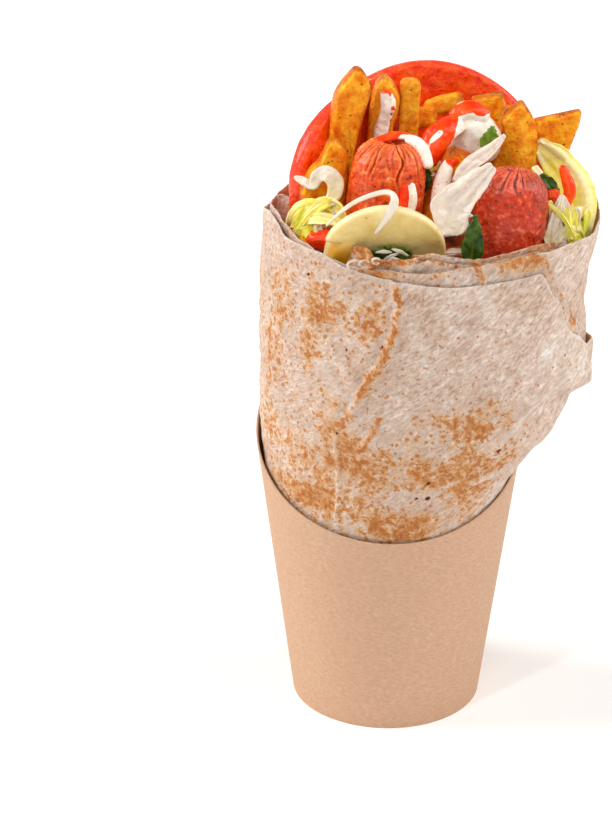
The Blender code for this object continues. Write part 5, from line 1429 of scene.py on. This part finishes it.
def leaves():
    """Cabbage, lettuce, herbs and onion, with the bit of tomato among them."""
    loose_shreds()
    tuft("left_tuft", (-23.0, -22.0, 178.0), (-31.5, -29.5, 167.5), (-14.5, -24.0, 172.0), 26, 5,
         "salad_left")
    tuft("right_tuft", (50.0, -20.5, 177.5), (45.5, -28.0, 163.0), (57.5, -16.0, 168.0), 22, 6,
         "salad_right")
    tuft("right_edge", (54.5, -13.0, 174.5), (53.0, -21.0, 164.0), (59.0, -9.0, 167.5), 9, 9,
         "salad_right")
    ribbon("cabbage_leaf_centre", [(28.8, -24.0, 189.5), (21.1, -28.4, 183.4), (16.3, -31.0, 178.2),
                                   (17.0, -34.0, 171.3)], (3.2, 8.6, 12.5, 7.5), (0.2, -1, 0.35),
           CABBAGE, "cabbage", 0.9, 0.3, 8.0, 0.3, ["cabbage_leaf_centre"], 0.6, 0.28, seed=51,
           green=(0.0, 0.0), torn=0.6, cross=36)
    ribbon("cabbage_strip_centre", [(33.4, -8.0, 194.0), (28.7, -12.0, 190.6), (22.5, -16.0, 187.2),
                                    (18.0, -19.0, 182.5)], (1.0, 3.0, 4.2, 4.6, 2.5), (0.2, -1, 0.5),
           CABBAGE, "cabbage", 1.0, 0.2, 10.0, nodes=["cabbage_strip_centre"], seed=52,
           green=(0.15, 0.0), pleats=0.15)
    ribbon("cabbage_curl_left", [(-30.3, -15.0, 183.2), (-27.6, -16.0, 182.2), (-24.6, -17.5, 181.4),
                                 (-23.1, -18.0, 184.4), (-20.4, -18.6, 185.3), (-18.0, -19.4, 183.0),
                                 (-18.2, -20.4, 179.6), (-20.5, -21.4, 177.0)],
           (1.0, 2.5, 3.0, 4.0, 4.8, 5.0, 4.4, 2.2), (0, -1, 0.5), CABBAGE, "cabbage", 1.0, 0.2,
           nodes=["cabbage_curl_left"], seed=53, green=(0.05, 0.35))
    ribbon("cabbage_strand", [(-20.8, -36.0, 175.0), (-16.2, -38.4, 180.4), (-11.4, -39.6, 184.2),
                              (-5.5, -40.6, 186.8), (-2.0, -42.4, 187.4), (-1.0, -44.6, 185.6),
                              (-2.6, -44.0, 181.6), (-4.2, -42.8, 178.4), (-6.5, -41.4, 174.6)],
           (0.8, 1.3, 1.4, 1.6, 2.6, 2.0, 0.9), (0, -1, 0.4), CABBAGE, "cabbage", 0.9,
           nodes=["cabbage_strand"], rough=0.12, seed=54, cross=8, green=(0.1, 0.1))
    ribbon("lettuce_leaf_right", [(44.6, 6.5, 187.0), (51.0, 3.4, 181.2), (55.8, -2.6, 174.2),
                                  (57.0, -9.0, 166.0), (55.2, -11.0, 157.0)],
           (4.0, 10.0, 12.8, 11.0, 4.0), (-0.35, -0.9, 0.35), LETTUCE, "lettuce", 1.0, 0.3, -12.0,
           0.5, ["lettuce_leaf_right"], 0.45, 0.4, seed=55, green=(0.3, 0.75), rib=1.0,
           rib_at=-0.55, cross=30)
    salad_lump("salad_left_lump", (-23.0, -24.0, 168.0), (8.3, 5.3, 5.4), 31, "salad_left", 0.6)
    runs = [
        [(-32.0, -18.0, 168.0), (-29.5, -22.5, 174.6), (-24.0, -25.0, 177.4), (-18.5, -25.0, 173.0)],
        [(-30.0, -21.0, 168.5), (-25.5, -27.0, 174.2), (-18.5, -28.0, 173.5),
         (-14.5, -27.5, 169.0)],
        [(-29.0, -18.0, 170.0), (-23.0, -20.5, 176.5), (-17.0, -23.5, 176.0),
         (-14.8, -25.5, 170.0)],
        [(-29.5, -23.0, 167.5), (-25.0, -26.0, 175.6), (-20.5, -25.0, 178.2),
         (-19.0, -21.0, 173.0)],
    ]
    for index, run in enumerate(runs):
        broad = 4.8 - 0.4 * index
        ribbon(f"salad_left_shred_{index + 1}", run, (0.5 * broad, broad, 0.5 * broad),
               (0.1, -1, 0.6), LETTUCE, "lettuce", 0.9, 0.25, 30.0 * (-1) ** index, 0.5,
               ["salad_left"], 0.2, seed=60 + index, green=(0.1, 0.6))
    salad_lump("salad_right_lump", (51.5, -16.5, 166.4), (6.3, 7.8, 5.4), 41, "salad_right", 0.7)
    runs = [
        [(50.0, -20.0, 178.4), (48.2, -23.0, 173.8), (46.8, -25.5, 167.0), (47.5, -24.5, 161.0)],
        [(49.6, -19.6, 178.8), (52.0, -21.5, 174.0), (54.4, -22.0, 168.5), (54.5, -20.0, 162.0)],
        [(47.8, -26.5, 165.8), (51.0, -25.5, 168.8), (54.5, -23.0, 168.0), (56.0, -18.5, 164.5)],
        [(51.0, -20.0, 170.5), (55.5, -17.5, 173.0), (58.0, -13.5, 170.0), (56.5, -9.5, 164.5)],
        [(42.6, -8.0, 184.0), (44.5, -10.5, 181.0), (47.0, -13.0, 176.5), (50.5, -15.0, 169.0)],
    ]
    for index, run in enumerate(runs):
        broad = 3.4 + 0.5 * (index % 3)
        ribbon(f"salad_right_shred_{index + 1}", run, (0.5 * broad, broad, 0.5 * broad),
               (0.1, -1, 0.5), LETTUCE if index > 1 else CABBAGE, "cabbage", 0.9, 0.25,
               25.0 * (-1) ** index, 0.4, ["salad_right"], 0.15, seed=70 + index,
               green=(0.0, 0.5) if index > 1 else (0.0, 0.15))
    stick("tomato_bit", (46.0, -15.6, 177.2), (50.0, -15.6, 178.0), 3.4, 2.6, (0, -1, 0.4), 0.8,
          seed=26, surface=TOMATO, square=3.0)
    serrated_leaf("herb_right", (44.4, -12.5, 183.2), (50.4, -14.0, 174.6), 4.6, (0.1, -1, 0.3), 3,
                  0.6)
    serrated_leaf("herb_front", (22.0, -37.0, 161.5), (23.4, -34.6, 178.0), 6.8, (0, -1, 0.2), 4,
                  0.8)
    parsley("herb_gherkin", (-8.6, -40.4, 167.6), (4.6, -40.4, 168.0), 5.0, (0, -1, 0.1))
    serrated_leaf("herb_sauce", (28.4, -3.0, 186.6), (30.2, -0.8, 194.6), 6.4, (0.1, -1, 0.3), 3,
                  0.5, light=0.8)
    serrated_leaf("herb_middle", (8.6, -13.2, 177.0), (9.8, -11.4, 187.0), 4.6, (0, -1, 0.2), 3,
                  0.3)
    onion = [(-3.8, -41.0, 168.5), (-1.4, -41.0, 167.2), (1.0, -41.0, 168.5), (3.6, -41.6, 165.7),
             (-2.6, -41.4, 165.5), (0.4, -41.6, 166.0)]
    for index, (x, y, z) in enumerate(onion):
        rise = 1.3 * math.sin(2.1 * index)
        ribbon(f"onion_{index + 1}", [(x - 2.6, y, z - rise), (x, y - 0.6, z + 0.5),
                                      (x + 2.4, y, z + rise)], (0.5, 1.2, 0.6), (0, -1, 0.2),
               CABBAGE, "cabbage", 0.5, 0.2, 30.0, rough=0.15, seed=90 + index, green=(0.0, 0.0),
               cross=8)


# Camera, floor and light

CAMERA_PITCH = math.radians(24.0)
CAMERA_DISTANCE = 800.0
CAMERA_AIM = np.array([-26.7, 0.0, 100.2])
CAMERA_SENSOR = 36.0
CAMERA_LENS = 110.2
CAMERA_NEAR = 0.05
FLOOR_HALF = 6
WORLD_LIGHT = 0.3

# Lights as name, direction they come from, strength, spread in degrees and colour
SUNS = [
    ("key", (-0.86, 0.12, 0.62), 2.8, 35.0, (1.0, 0.98, 0.95)),
    ("side", (0.85, 0.1, 0.55), 1.4, 40.0, (1.0, 0.99, 0.97)),
    ("top", (0.6, -0.3, 0.8), 0.8, 30.0, (1.0, 0.99, 0.97)),
    ("fill", (-0.1, -0.75, 0.65), 0.55, 35.0, (1.0, 0.98, 0.95)),
    ("glint", (-0.45, -0.55, 0.75), 0.45, 4.0, (1.0, 1.0, 1.0)),
]


def camera():
    """The photo's view: from the front, looking down by the camera's pitch."""
    back = np.array([0.0, -math.cos(CAMERA_PITCH), math.sin(CAMERA_PITCH)])
    lens = bpy.data.cameras.new("camera")
    lens.sensor_width = CAMERA_SENSOR
    lens.lens = CAMERA_LENS
    lens.clip_start = CAMERA_NEAR
    made = bpy.data.objects.new("camera", lens)
    made.location = (CAMERA_AIM + back * CAMERA_DISTANCE) * MM + AXIS
    made.rotation_euler = (math.pi / 2 - CAMERA_PITCH, 0.0, 0.0)
    scene.collection.objects.link(made)
    scene.camera = made


def sun(name, towards, strength, spread, colour):
    """A far light from the direction given, soft over the angle of its spread in degrees."""
    light = bpy.data.lights.new(name, "SUN")
    light.energy = strength
    light.angle = math.radians(spread)
    light.color = colour
    made = bpy.data.objects.new(name, light)
    made.location = Vector(towards)
    made.rotation_euler = Vector(towards).to_track_quat("Z", "Y").to_euler()
    scene.collection.objects.link(made)


def studio():
    """A pale floor, a white world and the five lights."""
    mesh = bpy.data.meshes.new("floor")
    corners = [(x * FLOOR_HALF, y * FLOOR_HALF, 0) for x, y in ((-1, -1), (1, -1), (1, 1), (-1, 1))]
    mesh.from_pydata(corners, [], [(0, 1, 2, 3)])
    look = Look("floor", 0.9, 0.1)
    cloud = look.noise(400.0, 2.0)
    mesh.materials.append(look.finish(look.ramp(cloud, [(0.3, (250, 250, 250)),
                                                        (0.7, (253, 253, 253))])))
    floor = bpy.data.objects.new("floor", mesh)
    scene.collection.objects.link(floor)
    world = bpy.data.worlds.new("studio")
    world.use_nodes = True
    background = world.node_tree.nodes["Background"]
    background.inputs["Color"].default_value = (1.0, 1.0, 1.0, 1.0)
    background.inputs["Strength"].default_value = WORLD_LIGHT
    scene.world = world
    for lamp in SUNS:
        sun(*lamp)
    scene.view_settings.view_transform = "Standard"


camera()
studio()
paper_cup()
lavash()
filling()
sausages()
fries()
slices()
sauces()
leaves()
